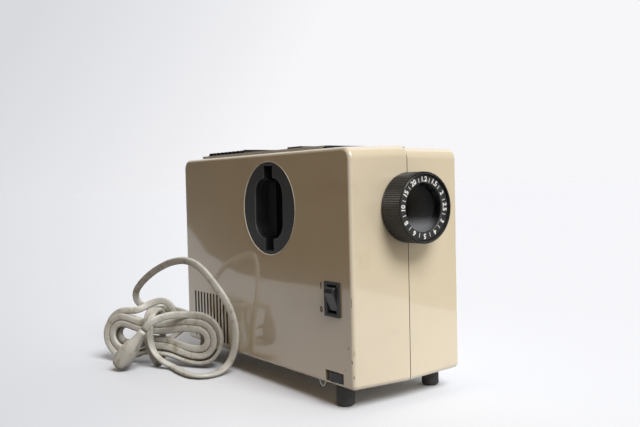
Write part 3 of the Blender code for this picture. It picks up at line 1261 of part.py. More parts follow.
def switch_rocker():
    """Rocker at rest with its lower end pressed in: a finger ridge stands out on its upper end."""
    points = [(out * ROCKER_REACH, up * ROCKER_HALF) for up, out in ROCKER_OUTLINE_SHARES]
    mesh = outline_prism("switch_rocker", ROCKER_LENGTH, points)
    y, z = case_y(SWITCH_BACK), case_z(SWITCH_HEIGHT)
    turn = Matrix(((-1, 0, 0, 0), (0, 0, 1, 0), (0, 1, 0, 0), (0, 0, 0, 1)))
    mesh.transform(Matrix.Translation((SWITCH_FACE_X, y - ROCKER_LENGTH / 2, z)) @ turn)
    return place("switch_rocker", mesh, "black_plastic", (SWITCH_FACE_X + ROCKER_PIVOT_DEPTH, y, z))


def front_foot(side, word):
    """Front foot: a fluted wheel held in the casing, a threaded stem through it and a rubber foot below."""
    x, y = side * FOOT_X, case_y(FRONT_FOOT_BACK)
    top = foot_top() - FOOT_TOP_GAP
    hole_low = top - STEM_DEPTH
    rubber = [
        (0, hole_low), (STEM_RADIUS + GAP, hole_low), (STEM_RADIUS + GAP, top), (FOOT_RADIUS, top),
        (FOOT_RADIUS, FOOT_CHAMFER), (FOOT_RADIUS - FOOT_CHAMFER, 0), (0, 0),
    ]
    turned(f"front_foot_{word}", rubber, (x, y, 0), (0, 0, 1), "rubber", FOOT_STEPS, closed=False)
    stem_low = hole_low + GAP
    stem_high = case_z(STEM_RISE)
    stem = [
        (0, stem_high - stem_low), (STEM_RADIUS - STEM_CHAMFER, stem_high - stem_low),
        (STEM_RADIUS, stem_high - stem_low - STEM_CHAMFER), (STEM_RADIUS, 0), (0, 0),
    ]
    turned(f"foot_stem_{word}", stem, (x, y, stem_low), (0, 0, 1), "steel", FOOT_STEPS, closed=False)
    flutes = [
        (radius * cos(angle), radius * sin(angle))
        for radius, angle in (
            (WHEEL_RADIUS - WHEEL_FLUTE * (i % 2), pi * i / WHEEL_FLUTES) for i in range(2 * WHEEL_FLUTES)
        )
    ]
    mesh = outline_prism(f"foot_wheel_{word}", WHEEL_HEIGHT, flutes, circle(STEM_RADIUS + GAP, FOOT_STEPS))
    mesh.transform(Matrix.Translation((x, y, case_z(WHEEL_LOW))))
    place(f"foot_wheel_{word}", mesh, "black_plastic", (x, y, case_z(WHEEL_LOW)))


def rear_foot(side, word):
    """Fixed rubber foot with a stub that plugs into the casing floor."""
    y = case_y(CASE_LENGTH - REAR_FOOT_INSET)
    top = foot_top() - GAP
    profile = [
        (0, FOOT_HEIGHT + REAR_STUB_RISE), (REAR_STUB_RADIUS, FOOT_HEIGHT + REAR_STUB_RISE),
        (REAR_STUB_RADIUS, top), (FOOT_RADIUS, top), (FOOT_RADIUS, FOOT_CHAMFER),
        (FOOT_RADIUS - FOOT_CHAMFER, 0), (0, 0),
    ]
    return turned(
        f"rear_foot_{word}", profile, (side * FOOT_X, y, 0), (0, 0, 1), "rubber", FOOT_STEPS, closed=False,
    )


def across_prism(name, points, half_width):
    """An outline of (back, height) points in case sizes, extruded across the casing."""
    mesh = outline_prism(name, 2 * half_width, [(case_y(back), height) for back, height in points])
    turn = Matrix(((0, 0, 1, 0), (1, 0, 0, 0), (0, 1, 0, 0), (0, 0, 0, 1)))
    mesh.transform(Matrix.Translation((-half_width, 0, 0)) @ turn)
    return mesh


def top_cover():
    """Cover on the casing's top: slanted louvre blades at the rear, a sloping hood and a grip bar."""
    base = case_z(CASE_HEIGHT)
    low = base + LEFT_TOP_DRAFT + GAP
    high = low + COVER_THICKNESS
    half = COVER_WIDTH / 2
    bm = bmesh.new()
    box_into(bm, (-half, case_y(COVER_FRONT), low), (half, case_y(COVER_REAR), high))
    upright = [e for e in bm.edges if abs(e.verts[0].co.z - e.verts[1].co.z) > COVER_THICKNESS / 2]
    bmesh.ops.bevel(bm, geom=upright, offset=COVER_CORNER, segments=4, profile=0.5, affect="EDGES")
    piece = place("top_cover", mesh_from(bm, "top_cover"), "black_plastic", smooth=False)
    opening_half = half - LOUVRE_BORDER
    cut(piece, helper("louvre_opening", box(
        "louvre_opening", (-opening_half, case_y(LOUVRE_FRONT), low - OVERRUN),
        (opening_half, case_y(LOUVRE_REAR), high + OVERRUN),
    )))
    middle = (low + high) / 2
    for side in (-1, 1):
        skirt_low = base + top_draft(side) * drafted(half - COVER_SKIRT) + GAP
        join(piece, helper("cover_skirt", box(
            "cover_skirt", (side * half, case_y(COVER_FRONT) + COVER_CORNER, skirt_low),
            (side * (half - COVER_SKIRT), case_y(COVER_REAR) - COVER_CORNER, middle),
        )))
    hood_top = base + HOOD_RISE
    hood_rear = LOUVRE_FRONT - HOOD_LEDGE
    hood = across_prism("hood", [
        (hood_rear, middle), (hood_rear, hood_top),
        (LOUVRE_FRONT - HOOD_FLAT, hood_top - HOOD_FALL), (HOOD_FRONT, middle),
    ], half - HOOD_INSET)
    grip_rear = GRIP_FRONT + GRIP_LENGTH
    grip = across_prism("grip", [
        (GRIP_FRONT, middle), (GRIP_FRONT + GRIP_SLOPE, base + GRIP_RISE),
        (grip_rear, base + GRIP_RISE), (grip_rear, middle),
    ], half - GRIP_INSET)
    join(piece, helper("hood", hood), helper("grip", grip))
    pitch = (LOUVRE_REAR - LOUVRE_FRONT) / LOUVRE_COUNT
    thickness = LOUVRE_BLADE / cos(LOUVRE_TILT)
    lean = (LOUVRE_RISE + LOUVRE_DROP) * tan(LOUVRE_TILT)
    for i in range(LOUVRE_COUNT):
        foot = LOUVRE_FRONT + (i + 1) * pitch - thickness
        blade = across_prism(f"louvre_{i}", [
            (foot, base - LOUVRE_DROP), (foot + thickness, base - LOUVRE_DROP),
            (foot + thickness - lean, base + LOUVRE_RISE), (foot - lean, base + LOUVRE_RISE),
        ], opening_half + JOIN)
        join(piece, helper(f"louvre_{i}", blade))
    return piece


def wire_eye():
    """Bent wire eye that hangs from two holes in the casing floor."""
    x, y = EYE_SIDE - SIDE_X, case_y(EYE_BACK)
    low = FOOT_HEIGHT
    route = [
        (x, y - EYE_WIDTH / 2, low + EYE_RISE), (x, y - EYE_WIDTH / 2, low),
        (x, y - EYE_WIDTH / 4, low - EYE_DROP * 3 / 4), (x, y, low - EYE_DROP),
        (x, y + EYE_WIDTH / 4, low - EYE_DROP * 3 / 4), (x, y + EYE_WIDTH / 2, low),
        (x, y + EYE_WIDTH / 2, low + EYE_RISE),
    ]
    return tube("wire_eye", route, EYE_WIRE, "steel", 1)


def tube(name, route, radius, finish_name, resolution):
    """A wire or cord: a bevelled curve with filled caps through the route's points."""
    curve = bpy.data.curves.new(name, "CURVE")
    curve.dimensions = "3D"
    curve.bevel_depth = radius
    curve.bevel_resolution = resolution
    curve.use_fill_caps = True
    curve.materials.append(finish(finish_name))
    spline = curve.splines.new("POLY")
    spline.points.add(len(route) - 1)
    for point, place_on_route in zip(spline.points, route):
        point.co = (*place_on_route, 1)
    piece = bpy.data.objects.new(name, curve)
    PARTS.objects.link(piece)
    return piece


def relief_wall():
    """Place of the drafted rear wall at the outer edge of the strain relief's flange."""
    return case_y(CASE_LENGTH) + END_DRAFT * drafted(abs(CORD_EXIT_X) + RELIEF_FLANGE)


def strain_relief():
    """Rubber sleeve in the rear wall: a flange inside, a neck in the hole and a tapered tail."""
    inside = CASE_WALL + GAP
    lean = END_DRAFT * 2 * RELIEF_FLANGE / SIDE_X
    profile = [
        (0, inside + RELIEF_LENGTH), (RELIEF_TIP, inside + RELIEF_LENGTH),
        (RELIEF_NECK + GAP * 2, inside + GAP + lean), (RELIEF_NECK, inside + GAP + lean), (RELIEF_NECK, 0),
        (RELIEF_FLANGE, 0),
        (RELIEF_FLANGE, -RELIEF_FLANGE_THICKNESS), (0, -RELIEF_FLANGE_THICKNESS),
    ]
    start = (CORD_EXIT_X, relief_wall() - inside, CORD_EXIT_Z)
    return turned("strain_relief", profile, start, (0, 1, 0), "rubber", FOOT_STEPS, closed=False)


def lead_exit():
    """The strain relief's tip, where the lead leaves the projector."""
    return Vector((CORD_EXIT_X, relief_wall() + RELIEF_LENGTH, CORD_EXIT_Z))


def beside_hank(along, up, out):
    """A place beside the hank in the object's frame: along it, up from the floor and towards the front."""
    return Vector((
        -HANK_FOOT_SIDE + along * cos(HANK_TURN) - out * sin(HANK_TURN),
        HANK_FOOT_BACK - along * sin(HANK_TURN) - out * cos(HANK_TURN),
        up,
    ))


def ease(share):
    share = min(max(share, 0.0), 1.0)
    return share * share * (3 - 2 * share)


def drawn_in(along, span):
    """How far the waist draws the loops in at a place along the hank: 1 at the waist, 0 in the lobes."""
    if along < span[0]:
        return 1 - ease((span[0] - along) / WAIST_LEFT_RAMP)
    return 1 - ease((along - span[1]) / WAIST_RIGHT_RAMP)


def hank_point(turn):
    """The hank's centre line: it spirals in at the back, climbs along a low run and spirals out in front."""
    if turn < HANK_CLIMB:
        inset = HANK_PITCH * (turn - HANK_START)
    elif turn < HANK_CLIMBED:
        inset = HANK_PITCH * (HANK_CLIMB - HANK_START)
    else:
        inset = HANK_PITCH * (HANK_CLIMB - HANK_START - (turn - HANK_CLIMBED))
    rise = HANK_HALF_HEIGHT - inset
    left, right = HANK_HALF_HEIGHT - HANK_LEFT, HANK_RIGHT - HANK_HALF_HEIGHT
    quarter, share = divmod(turn % 1 * 4, 1)
    if quarter == 0:
        along, up = right + (left - right) * share, rise
    elif quarter == 1:
        along, up = left - rise * sin(pi * share), rise * cos(pi * share)
    elif quarter == 2:
        along, up = left + (right - left) * share, -rise
    else:
        along, up = right + rise * sin(pi * share), -rise * cos(pi * share)
    if up > 0:
        up -= WAIST_TOP_DROP * drawn_in(along, WAIST_TOP_SPAN)
    else:
        up += WAIST_LOW_RISE * drawn_in(along, WAIST_LOW_SPAN)
    climbed = ease((turn - HANK_CLIMB) / (HANK_CLIMBED - HANK_CLIMB))
    return beside_hank(along, HANK_MIDDLE + up, HANK_LAYER * (climbed - 1 / 2))


def between(low, high, first, second, place_at):
    """Linear blend of two points whose parameters are low and high."""
    return first * ((high - place_at) / (high - low)) + second * ((place_at - low) / (high - low))


def smooth_route(points, step):
    """A smooth curve through the points, read again at equal steps between its two straight end pieces."""
    fine = []
    for a, b, c, d in zip(points, points[1:], points[2:], points[3:]):
        t1 = sqrt((b - a).length)
        t2 = t1 + sqrt((c - b).length)
        t3 = t2 + sqrt((d - c).length)
        for i in range(CORD_SMOOTHING):
            t = t1 + (t2 - t1) * i / CORD_SMOOTHING
            ab, bc, cd = between(0, t1, a, b, t), between(t1, t2, b, c, t), between(t2, t3, c, d, t)
            fine.append(between(t1, t2, between(0, t2, ab, bc, t), between(t1, t3, bc, cd, t), t))
    return [points[0], *evenly([*fine, points[-2]], step), points[-1]]


def evenly(points, step):
    """The same line with its points at equal distances near the step."""
    rows = np.array([tuple(point) for point in points])
    far = np.concatenate(([0.0], np.cumsum(np.linalg.norm(np.diff(rows, axis=0), axis=1))))
    places = np.linspace(0, far[-1], max(2, round(far[-1] / step)) + 1)
    return [Vector(row) for row in np.stack([np.interp(places, far, column) for column in rows.T], axis=1)]


def least_gap(name, first, second=None):
    """Prints the least gap between two cords, or between a cord and itself a bend further on.

    Where two cords meet end to end, the first diameters beside their joint are left out.
    """
    one = np.array([tuple(point) for point in evenly(first, CORD_DIAMETER / GAP_SAMPLE_STEPS)])
    two = one
    if second is not None:
        two = np.array([tuple(point) for point in evenly(second, CORD_DIAMETER / GAP_SAMPLE_STEPS)])
    apart = np.linalg.norm(one[:, None] - two[None], axis=2)
    if second is None:
        index = np.arange(len(one))
        apart[abs(index[:, None] - index[None]) < JOINT_DIAMETER_COUNT * GAP_SAMPLE_STEPS] = np.inf
    elif (first[-1] - second[0]).length < CORD_DIAMETER:
        apart[-JOINT_DIAMETER_COUNT * GAP_SAMPLE_STEPS:, :JOINT_DIAMETER_COUNT * GAP_SAMPLE_STEPS] = np.inf
    print(f"least gap of {name}: {(apart.min() - CORD_DIAMETER) / MM:.2f} mm, length {len(one)} points")


def in_hank_sizes(route):
    return [beside_hank(*(size * MM for size in point)) for point in route]


def mains_lead():
    """The lead with its standing loop, its two turns round the hank's waist, the hank and the plug."""
    along = (beside_hank(1, 0, 0) - beside_hank(0, 0, 0)) * CORD_DIAMETER
    joint = along.normalized() * GAP
    turns = round((HANK_END - HANK_START) * LOOP_POINTS)
    hank = [hank_point(HANK_START + (HANK_END - HANK_START) * i / turns) for i in range(turns + 1)]
    hank = [hank[0] + along, *hank, hank[-1] - along]
    lead = [lead_exit() + Vector((0, GAP, 0)), lead_exit() + Vector((0, GAP + CORD_DIAMETER, 0))]
    lead += [Vector(point) * MM for point in LEAD_ROUTE]
    end = lead[-1] - lead[-2]
    end.normalize()
    lead[-2] = lead[-1] - end * CORD_DIAMETER
    wrap = [lead[-1] + end * GAP, lead[-1] + end * (GAP + CORD_DIAMETER), *in_hank_sizes(WRAP_ROUTE)]
    wrap += [hank[0] + joint + along, hank[0] + joint]
    tail = [hank[-1] - joint, hank[-1] - joint - along, *in_hank_sizes(TAIL_ROUTE)]
    plug_axis = (in_hank_sizes([PLUG_FAR_END])[0] - tail[-1]).normalized()
    tail.append(tail[-1] + plug_axis * CORD_DIAMETER)
    routes = {
        "cord_lead": smooth_route(lead, LEAD_STEP), "cord_wrap": smooth_route(wrap, WRAP_STEP),
        "cord_hank": hank, "cord_tail": smooth_route(tail, WRAP_STEP),
    }
    names = list(routes)
    for i, name in enumerate(names):
        loose = name in ("cord_lead", "cord_tail")
        tube(name, routes[name], CORD_DIAMETER / 2, "lead_grey", 2 if loose else 1)
        least_gap(f"{name} to itself", routes[name])
        for other in names[i + 1:]:
            least_gap(f"{name} to {other}", routes[name], routes[other])
    mains_plug(tail[-1], plug_axis)


def mains_plug(cord_end, along):
    """Flat two-pin plug whose pins stand square to the cord, turned towards the hank."""
    out = beside_hank(0, 0, 1) - beside_hank(0, 0, 0)
    out = (out - along * out.dot(along)).normalized()
    across = out.cross(along)
    frame = Matrix((along, across, out)).transposed().to_4x4()
    frame.translation = cord_end + along * (GAP + PLUG_TAIL) - out * PLUG_DEPTH / 2
    side = [(x * PLUG_LENGTH, y * PLUG_WIDTH / 2) for x, y in PLUG_OUTLINE_SHARES]
    mesh = outline_prism("mains_plug", PLUG_DEPTH, side + [(x, -y) for x, y in side[::-1]])
    bm = bmesh.new()
    bm.from_mesh(mesh)
    rim = [
        e for e in bm.edges
        if e.calc_face_angle(0) > PLUG_RIM_ANGLE and e.verts[0].co.z == e.verts[1].co.z
    ]
    bmesh.ops.bevel(bm, geom=rim, offset=PLUG_BEVEL, segments=2, profile=0.5, affect="EDGES")
    bpy.data.meshes.remove(mesh)
    piece = place("mains_plug", mesh_from(bm, "mains_plug"), "lead_grey")
    tail = cylinder(
        "plug_tail", (-PLUG_TAIL, 0, PLUG_DEPTH / 2), (JOIN, 0, PLUG_DEPTH / 2), PLUG_TAIL_END, TINY_STEPS,
        PLUG_TAIL_ROOT,
    )
    middle = PLUG_LENGTH - PLUG_PIN_END
    pins = cylinders("plug_pins", [
        ((at, 0, PLUG_PIN_SEAT), (at, 0, -PLUG_PIN_LENGTH))
        for at in (middle - PLUG_PIN_SPACING / 2, middle + PLUG_PIN_SPACING / 2)
    ], PLUG_PIN_RADIUS)
    join(piece, helper("plug_tail", tail), helper("plug_pins", pins))
    for made in (piece.data, tail, pins):
        made.transform(frame)
    return piece


def build():
    for side, word in ((-1, "left"), (1, "right")):
        slide_port(side, word)
        front_foot(side, word)
        rear_foot(side, word)
    left_shell()
    right_shell()
    casing_screws()
    chassis_plate()
    chassis_screws()
    slide_channel()
    lens_barrel()
    front_glass()
    rear_glass()
    name_ring()
    focus_ring()
    lens_sleeve()
    lens_support()
    condenser_cell()
    condenser_glasses()
    lamp_house()
    lamp_bulb()
    lampholder()
    lamp_carrier()
    reflector()
    fan_motor()
    fan_rotor()
    transformer()
    terminal_block()
    switch_body()
    switch_rocker()
    top_cover()
    wire_eye()
    strain_relief()
    mains_lead()


for leftover in list(bpy.data.objects):
    bpy.data.objects.remove(leftover)
PARTS = new_collection("slide_projector")
CUTTERS = new_collection("cutters")
build()
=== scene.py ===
import json
from math import cos, pi, radians, sin, sqrt

import bmesh
import bpy
import numpy as np
from mathutils import Matrix, Vector, noise


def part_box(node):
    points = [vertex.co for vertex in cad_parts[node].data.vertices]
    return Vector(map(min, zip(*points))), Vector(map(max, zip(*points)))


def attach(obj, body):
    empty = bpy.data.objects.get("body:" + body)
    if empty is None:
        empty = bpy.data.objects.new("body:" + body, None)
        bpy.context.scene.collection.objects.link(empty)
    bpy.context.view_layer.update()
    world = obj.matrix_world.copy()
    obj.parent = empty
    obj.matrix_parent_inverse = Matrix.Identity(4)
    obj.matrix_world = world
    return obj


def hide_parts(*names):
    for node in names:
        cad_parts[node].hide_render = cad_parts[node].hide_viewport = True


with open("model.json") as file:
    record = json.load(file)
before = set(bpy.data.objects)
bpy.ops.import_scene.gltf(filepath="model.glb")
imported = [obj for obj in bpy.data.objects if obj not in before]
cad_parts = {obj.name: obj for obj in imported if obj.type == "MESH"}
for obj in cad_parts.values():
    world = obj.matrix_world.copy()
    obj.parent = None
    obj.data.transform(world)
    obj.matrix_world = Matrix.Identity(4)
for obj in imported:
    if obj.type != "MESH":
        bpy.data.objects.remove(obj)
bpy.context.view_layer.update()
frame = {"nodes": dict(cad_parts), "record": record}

# Slide projector with its hanked mains lead. Sizes are in metres where a comment says nothing else
MM = 0.001


def middle_of(node, axis):
    """The middle of a node's box along one axis."""
    low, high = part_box(node)
    return (low[axis] + high[axis]) / 2


# Places in the object's frame, from the nodes' boxes where these show them
SIDE_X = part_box("right_shell")[1].x
SHELL_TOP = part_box("left_shell")[1].z
CASE_FRONT = -118.4 * MM
COVER_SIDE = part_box("top_cover")[1].x
OPTICAL_Z = middle_of("name_ring", 2)
NAME_RING_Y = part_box("name_ring")[0].y
KNURL_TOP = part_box("focus_ring")[1].x
PORT_FLANGE = 2.5 * MM
PORT_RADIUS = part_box("slide_port_left")[1].z - OPTICAL_Z - PORT_FLANGE
PORT_Y = middle_of("slide_port_left", 1)
SWITCH_Y, SWITCH_Z = middle_of("switch_body", 1), middle_of("switch_body", 2)

# The photograph's camera
CAMERA_PLACE = (-0.3767, -0.51895, 0.1620)
CAMERA_YAW = radians(36.531)
CAMERA_PITCH = radians(2.193)
CAMERA_ROLL = radians(-1.263)
CAMERA_FOCAL = 739.02
CAMERA_NEAR = 0.01
PHOTO_WIDTH = 640
SENSOR = 36.0

# Mains lead: a flat section, swaying a little along its way and lying flat on the floor
CORD_WIDTH = 6.4 * MM
CORD_THICKNESS = 3.6 * MM
CORD_ROUNDING = 0.55
CORD_TUBE = 5.2 * MM
CORD_GAP = 0.3 * MM
CORD_STEP = 2.6 * MM
CORD_SOFTENING = 3
CORD_SIDES = 14
CORD_TURN_SHARE = 0.22
SWAY = 0.25
SWAY_PACE = 0.045
SWAY_PLACE = (3.7, 1.3)
FLOOR_HOLD = 6.0 * MM
FLOOR_FADE = 12.0 * MM
LOOP_POINTS = 48
HANK_FOOT_SIDE = 100.5 * MM
HANK_FOOT_BACK = 126.0 * MM
HANK_TURN = radians(58.0)
HANK_LEFT = 48.5 * MM
HANK_RIGHT = 79.0 * MM
HANK_HALF_HEIGHT = 22.4 * MM
HANK_MIDDLE = 25.4 * MM
HANK_PITCH = 6.3 * MM
HANK_LAYER = 6.2 * MM
HANK_START = 0.25
HANK_CLIMB = 2.5
HANK_CLIMBED = 2.75
HANK_END = 5.0
WAIST_TOP_DROP = 4.5 * MM
WAIST_LOW_RISE = 6.0 * MM
WAIST_TOP_SPAN = (-4.0 * MM, 14.0 * MM)
WAIST_LOW_SPAN = (2.0 * MM, 20.0 * MM)
WAIST_LEFT_RAMP = 22.0 * MM
WAIST_RIGHT_RAMP = 30.0 * MM
CORD_EXIT = Vector((
    middle_of("strain_relief", 0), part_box("strain_relief")[1].y, middle_of("strain_relief", 2)))

# Routes in millimetres: the lead's in the object's frame, the others' along, up and out of the hank
LEAD_ROUTE = (
    (-24.5, 181, 25), (-33, 194, 13), (-45, 196, 5), (-55, 187, 3),
    (-59.5, 168, 2.9), (-60, 146, 2.9), (-60, 122, 3), (-60.5, 105, 6), (-61.5, 93, 15), (-62.5, 89, 27),
    (-64.5, 95, 37), (-67, 108, 43), (-71.5, 125, 46), (-78.5, 141, 46.5), (-85.5, 152.5, 46.8),
    (-91.5, 160.5, 48.8), (-95.2, 164.5, 54), (-96.5, 162.5, 62), (-95.2, 151.5, 72), (-92.5, 132.7, 82.9),
    (-91.5, 113.7, 90), (-91, 91.5, 96), (-87.5, 71, 98.6), (-83.5, 58, 95.5), (-79.5, 49, 88.5),
    (-75, 41, 78.5), (-69, 34, 65),
    (-64.5, 31, 51), (-62, 31, 38), (-62, 33, 25), (-63.5, 37.5, 13), (-69, 40.5, 5), (-78, 39.5, 2.9),
    (-88, 39, 2.9), (-95, 46, 2.9), (-97, 58, 2.9), (-96.7, 70, 2.9), (-95.8, 79, 2.9),
    (-95.2, 84, 2.9),
)
WRAP_ROUTE = (
    (28, 5.6, 15.8), (21.5, 9, 15.5), (15.7, 14.5, 15.3), (12.8, 21.5, 15.2),
    (11.9, 30.3, 15.2), (12, 38.5, 15), (12, 45.5, 12.5), (12, 50.3, 6.5), (11.8, 51, -1),
    (10.5, 47.5, -7.5), (9.5, 38, -9.6), (9, 22, -9.6), (9.5, 9, -9), (11, 3.2, -4), (13.5, 2.8, 4),
    (16.5, 3.1, 10.5), (15.5, 6, 13.5), (12, 10.5, 12.8), (8.5, 15.5, 11), (6.3, 22, 9.6), (5.7, 30, 9.3),
    (5.5, 39, 9.1), (4.8, 46.5, 7), (4, 50.4, 1), (3, 49.5, -5), (1.8, 45, -10), (2, 39.5, -13.6),
    (6, 35, -17), (11.5, 35, -18), (16, 39.5, -18), (16.8, 46, -17.8), (13, 52.5, -17.5), (6, 56, -17),
    (-1, 55.3, -15.5), (-8, 52.3, -12), (-13.2, 48.6, -5.2),
)
TAIL_ROUTE = (
    (40, 48.4, 7), (36, 48.9, 13), (32, 48.6, 20), (28.8, 47.6, 26.5), (25.8, 46, 31), (22.2, 42.7, 32.5),
)

# Plug: where it points to, and its sections as place along it, half width and half depth in millimetres
PLUG_FAR_END = (-7.3, 8, 32.5)
PLUG_DEPTH = 13.7 * MM
PLUG_TAIL = 9.3 * MM
PLUG_SIDES = 28
PLUG_ROUNDING = 0.72
PLUG_SECTIONS = (
    (-9.3, 3.3, 3.3), (-6.0, 3.6, 3.5), (-2.0, 3.9, 3.9), (1.0, 4.1, 4.5), (5.0, 4.9, 5.5),
    (9.0, 6.1, 6.3), (13.0, 7.3, 6.7), (18.0, 8.3, 6.85), (23.0, 8.5, 6.85), (28.0, 8.3, 6.8),
    (32.0, 7.2, 6.5), (34.5, 5.2, 5.4), (35.7, 3.0, 3.2),
)

# Pins: their places along the plug in millimetres, and their outline as share of the radius and
# distance from the plug's face
PIN_PLACES = (13.5, 32.1)
PIN_SIDES = 20
PIN_RADIUS = 2.0 * MM
PIN_OUTLINE = ((1.0, -1.0 * MM), (1.0, 11.8 * MM), (0.8, 12.7 * MM), (0.4, 13.0 * MM))


def link(name, mesh):
    piece = bpy.data.objects.new(name, mesh)
    bpy.context.scene.collection.objects.link(piece)
    return piece


def as_mesh(name, vertices, faces):
    mesh = bpy.data.meshes.new(name)
    mesh.from_pydata([tuple(v) for v in vertices], [], faces)
    mesh.validate()
    mesh.shade_smooth()
    return mesh


def add_camera():
    lens = bpy.data.cameras.new("camera")
    lens.sensor_width = SENSOR
    lens.lens = CAMERA_FOCAL * SENSOR / PHOTO_WIDTH
    lens.clip_start = CAMERA_NEAR
    camera = link("camera", lens)
    ahead = Vector((
        sin(CAMERA_YAW) * cos(CAMERA_PITCH), cos(CAMERA_YAW) * cos(CAMERA_PITCH), -sin(CAMERA_PITCH)))
    level = Vector((cos(CAMERA_YAW), -sin(CAMERA_YAW), 0))
    above = level.cross(ahead)
    right = cos(CAMERA_ROLL) * level + sin(CAMERA_ROLL) * above
    up = cos(CAMERA_ROLL) * above - sin(CAMERA_ROLL) * level
    turn = Matrix((right, up, -ahead)).transposed().to_4x4()
    camera.matrix_world = Matrix.Translation(CAMERA_PLACE) @ turn
    bpy.context.scene.camera = camera


# Node helpers. Noise lies mostly within this range
NOISE_RANGE = (0.3, 0.7)


def new_material(name):
    material = bpy.data.materials.new(name)
    material.use_nodes = True
    return material, material.node_tree, material.node_tree.nodes["Principled BSDF"]


def put(tree, kind, **settings):
    node = tree.nodes.new(kind)
    for key, value in settings.items():
        setattr(node, key, value)
    return node


def object_noise(tree, scale, detail=5.0, stretch=(1, 1, 1)):
    """Noise fixed to the piece, with features of about one over the scale, in metres."""
    place = put(tree, "ShaderNodeTexCoord").outputs["Object"]
    if stretch != (1, 1, 1):
        mapping = put(tree, "ShaderNodeMapping")
        mapping.inputs["Scale"].default_value = stretch
        tree.links.new(place, mapping.inputs["Vector"])
        place = mapping.outputs["Vector"]
    found = put(tree, "ShaderNodeTexNoise")
    found.inputs["Scale"].default_value = scale
    found.inputs["Detail"].default_value = detail
    tree.links.new(place, found.inputs["Vector"])
    return found.outputs["Fac"]


def spread(tree, value, low, high, to_low, to_high):
    """Maps the range from low to high onto another one, and holds its ends."""
    node = put(tree, "ShaderNodeMapRange")
    for key, number in (("From Min", low), ("From Max", high), ("To Min", to_low), ("To Max", to_high)):
        node.inputs[key].default_value = number
    tree.links.new(value, node.inputs["Value"])
    return node.outputs["Result"]


def maths(tree, operation, *values):
    """A Math node on sockets and numbers."""
    node = put(tree, "ShaderNodeMath", operation=operation)
    for socket, value in zip(node.inputs, values):
        if isinstance(value, (int, float)):
            socket.default_value = value
        else:
            tree.links.new(value, socket)
    return node.outputs["Value"]


def product(tree, first, *others):
    for other in others:
        first = maths(tree, "MULTIPLY", first, other)
    return first


def length_of(tree, *values):
    """The length of the vector that has these values."""
    squares = [maths(tree, "MULTIPLY", value, value) for value in values]
    total = squares[0]
    for square in squares[1:]:
        total = maths(tree, "ADD", total, square)
    return maths(tree, "SQRT", total)


def parts_of(tree, vector):
    split = put(tree, "ShaderNodeSeparateXYZ")
    tree.links.new(vector, split.inputs[0])
    return split.outputs[0], split.outputs[1], split.outputs[2]


def object_axes(tree):
    """The place on the piece along each axis, in metres."""
    return parts_of(tree, put(tree, "ShaderNodeTexCoord").outputs["Object"])


def within(tree, value, low, high, soft):
    """1 between two values and 0 outside them."""
    rise = spread(tree, value, low - soft, low, 0.0, 1.0)
    return product(tree, rise, spread(tree, value, high, high + soft, 1.0, 0.0))


def mix_colours(tree, share, first, second):
    node = put(tree, "ShaderNodeMix", data_type="RGBA")
    tree.links.new(share, node.inputs["Factor"])
    for key, colour in (("A", first), ("B", second)):
        socket = next(s for s in node.inputs if s.name == key and s.type == "RGBA")
        if isinstance(colour, tuple):
            socket.default_value = (*colour, 1.0)
        else:
            tree.links.new(colour, socket)
    return next(s for s in node.outputs if s.type == "RGBA")


def add_bump(tree, shader, height, distance):
    bump = put(tree, "ShaderNodeBump")
    bump.inputs["Strength"].default_value = 1.0
    bump.inputs["Distance"].default_value = distance
    tree.links.new(height, bump.inputs["Height"])
    tree.links.new(bump.outputs["Normal"], shader.inputs["Normal"])


def tone_of(shader):
    """The colour that the shader has so far."""
    return shader.inputs["Base Color"].links[0].from_socket


def set_tone(tree, shader, tone):
    tree.links.new(tone, shader.inputs["Base Color"])


def surface(
    name, colour, roughness, metallic=0.0, variation=0.06, patch=60.0, grain=2500.0, depth=0.02 * MM,
    rough_spread=0.06, dirt=None, dirt_from=0.62, stretch=(1, 1, 1),
):
    """A plain material: slow colour changes, uneven gloss, fine grain and, if asked, dirt in patches."""
    material, tree, shader = new_material(name)
    share = spread(tree, object_noise(tree, patch, 3.0), *NOISE_RANGE, 0.0, 1.0)
    darker = tuple(c * (1 - variation) for c in colour)
    paler = tuple(min(1.0, c * (1 + variation)) for c in colour)
    tone = mix_colours(tree, share, darker, paler)
    if dirt:
        patches = object_noise(tree, patch * 3.1, 9.0)
        tone = mix_colours(
            tree, spread(tree, patches, dirt_from - 0.10, dirt_from + 0.10, 0.0, 0.85), tone, dirt)
    set_tone(tree, shader, tone)
    fine = object_noise(tree, grain, 4.0, stretch)
    gloss = spread(tree, fine, *NOISE_RANGE, roughness - rough_spread, roughness + rough_spread)
    tree.links.new(gloss, shader.inputs["Roughness"])
    shader.inputs["Metallic"].default_value = metallic
    add_bump(tree, shader, fine, depth)
    return material, tree, shader


# Worn spots on the casing: middle, reach along each axis in millimetres and how dark
WORN = (
    ((-53.3, -116.6, 36.5), (0.5, 0.8, 1.3), 0.9), ((-53.5, -113.0, 46.0), (0.5, 0.7, 0.9), 0.85),
    ((-52.6, -117.6, 26.0), (0.45, 0.6, 1.6), 0.8), ((-52.2, -117.9, 43.0), (0.9, 0.9, 2.3), 0.28),
    ((-53.2, -116.9, 79.0), (0.35, 0.45, 4.2), 0.75), ((-53.3, -109.0, 30.0), (0.5, 0.9, 0.6), 0.6),
    ((-53.4, 60.0, 18.6), (2.0, 3.0, 0.8), 0.4), ((52.6, -117.6, 24.0), (1.0, 1.0, 1.2), 0.5),
)
WORN_TONE = (0.085, 0.052, 0.026)
FILM_TONE = (0.42, 0.33, 0.20)

# Parting line: the half width of its dark core and of its whole
PARTING_CORE = 0.30 * MM
PARTING_HALF = 0.38 * MM
PARTING_TONE = (0.09, 0.055, 0.030)

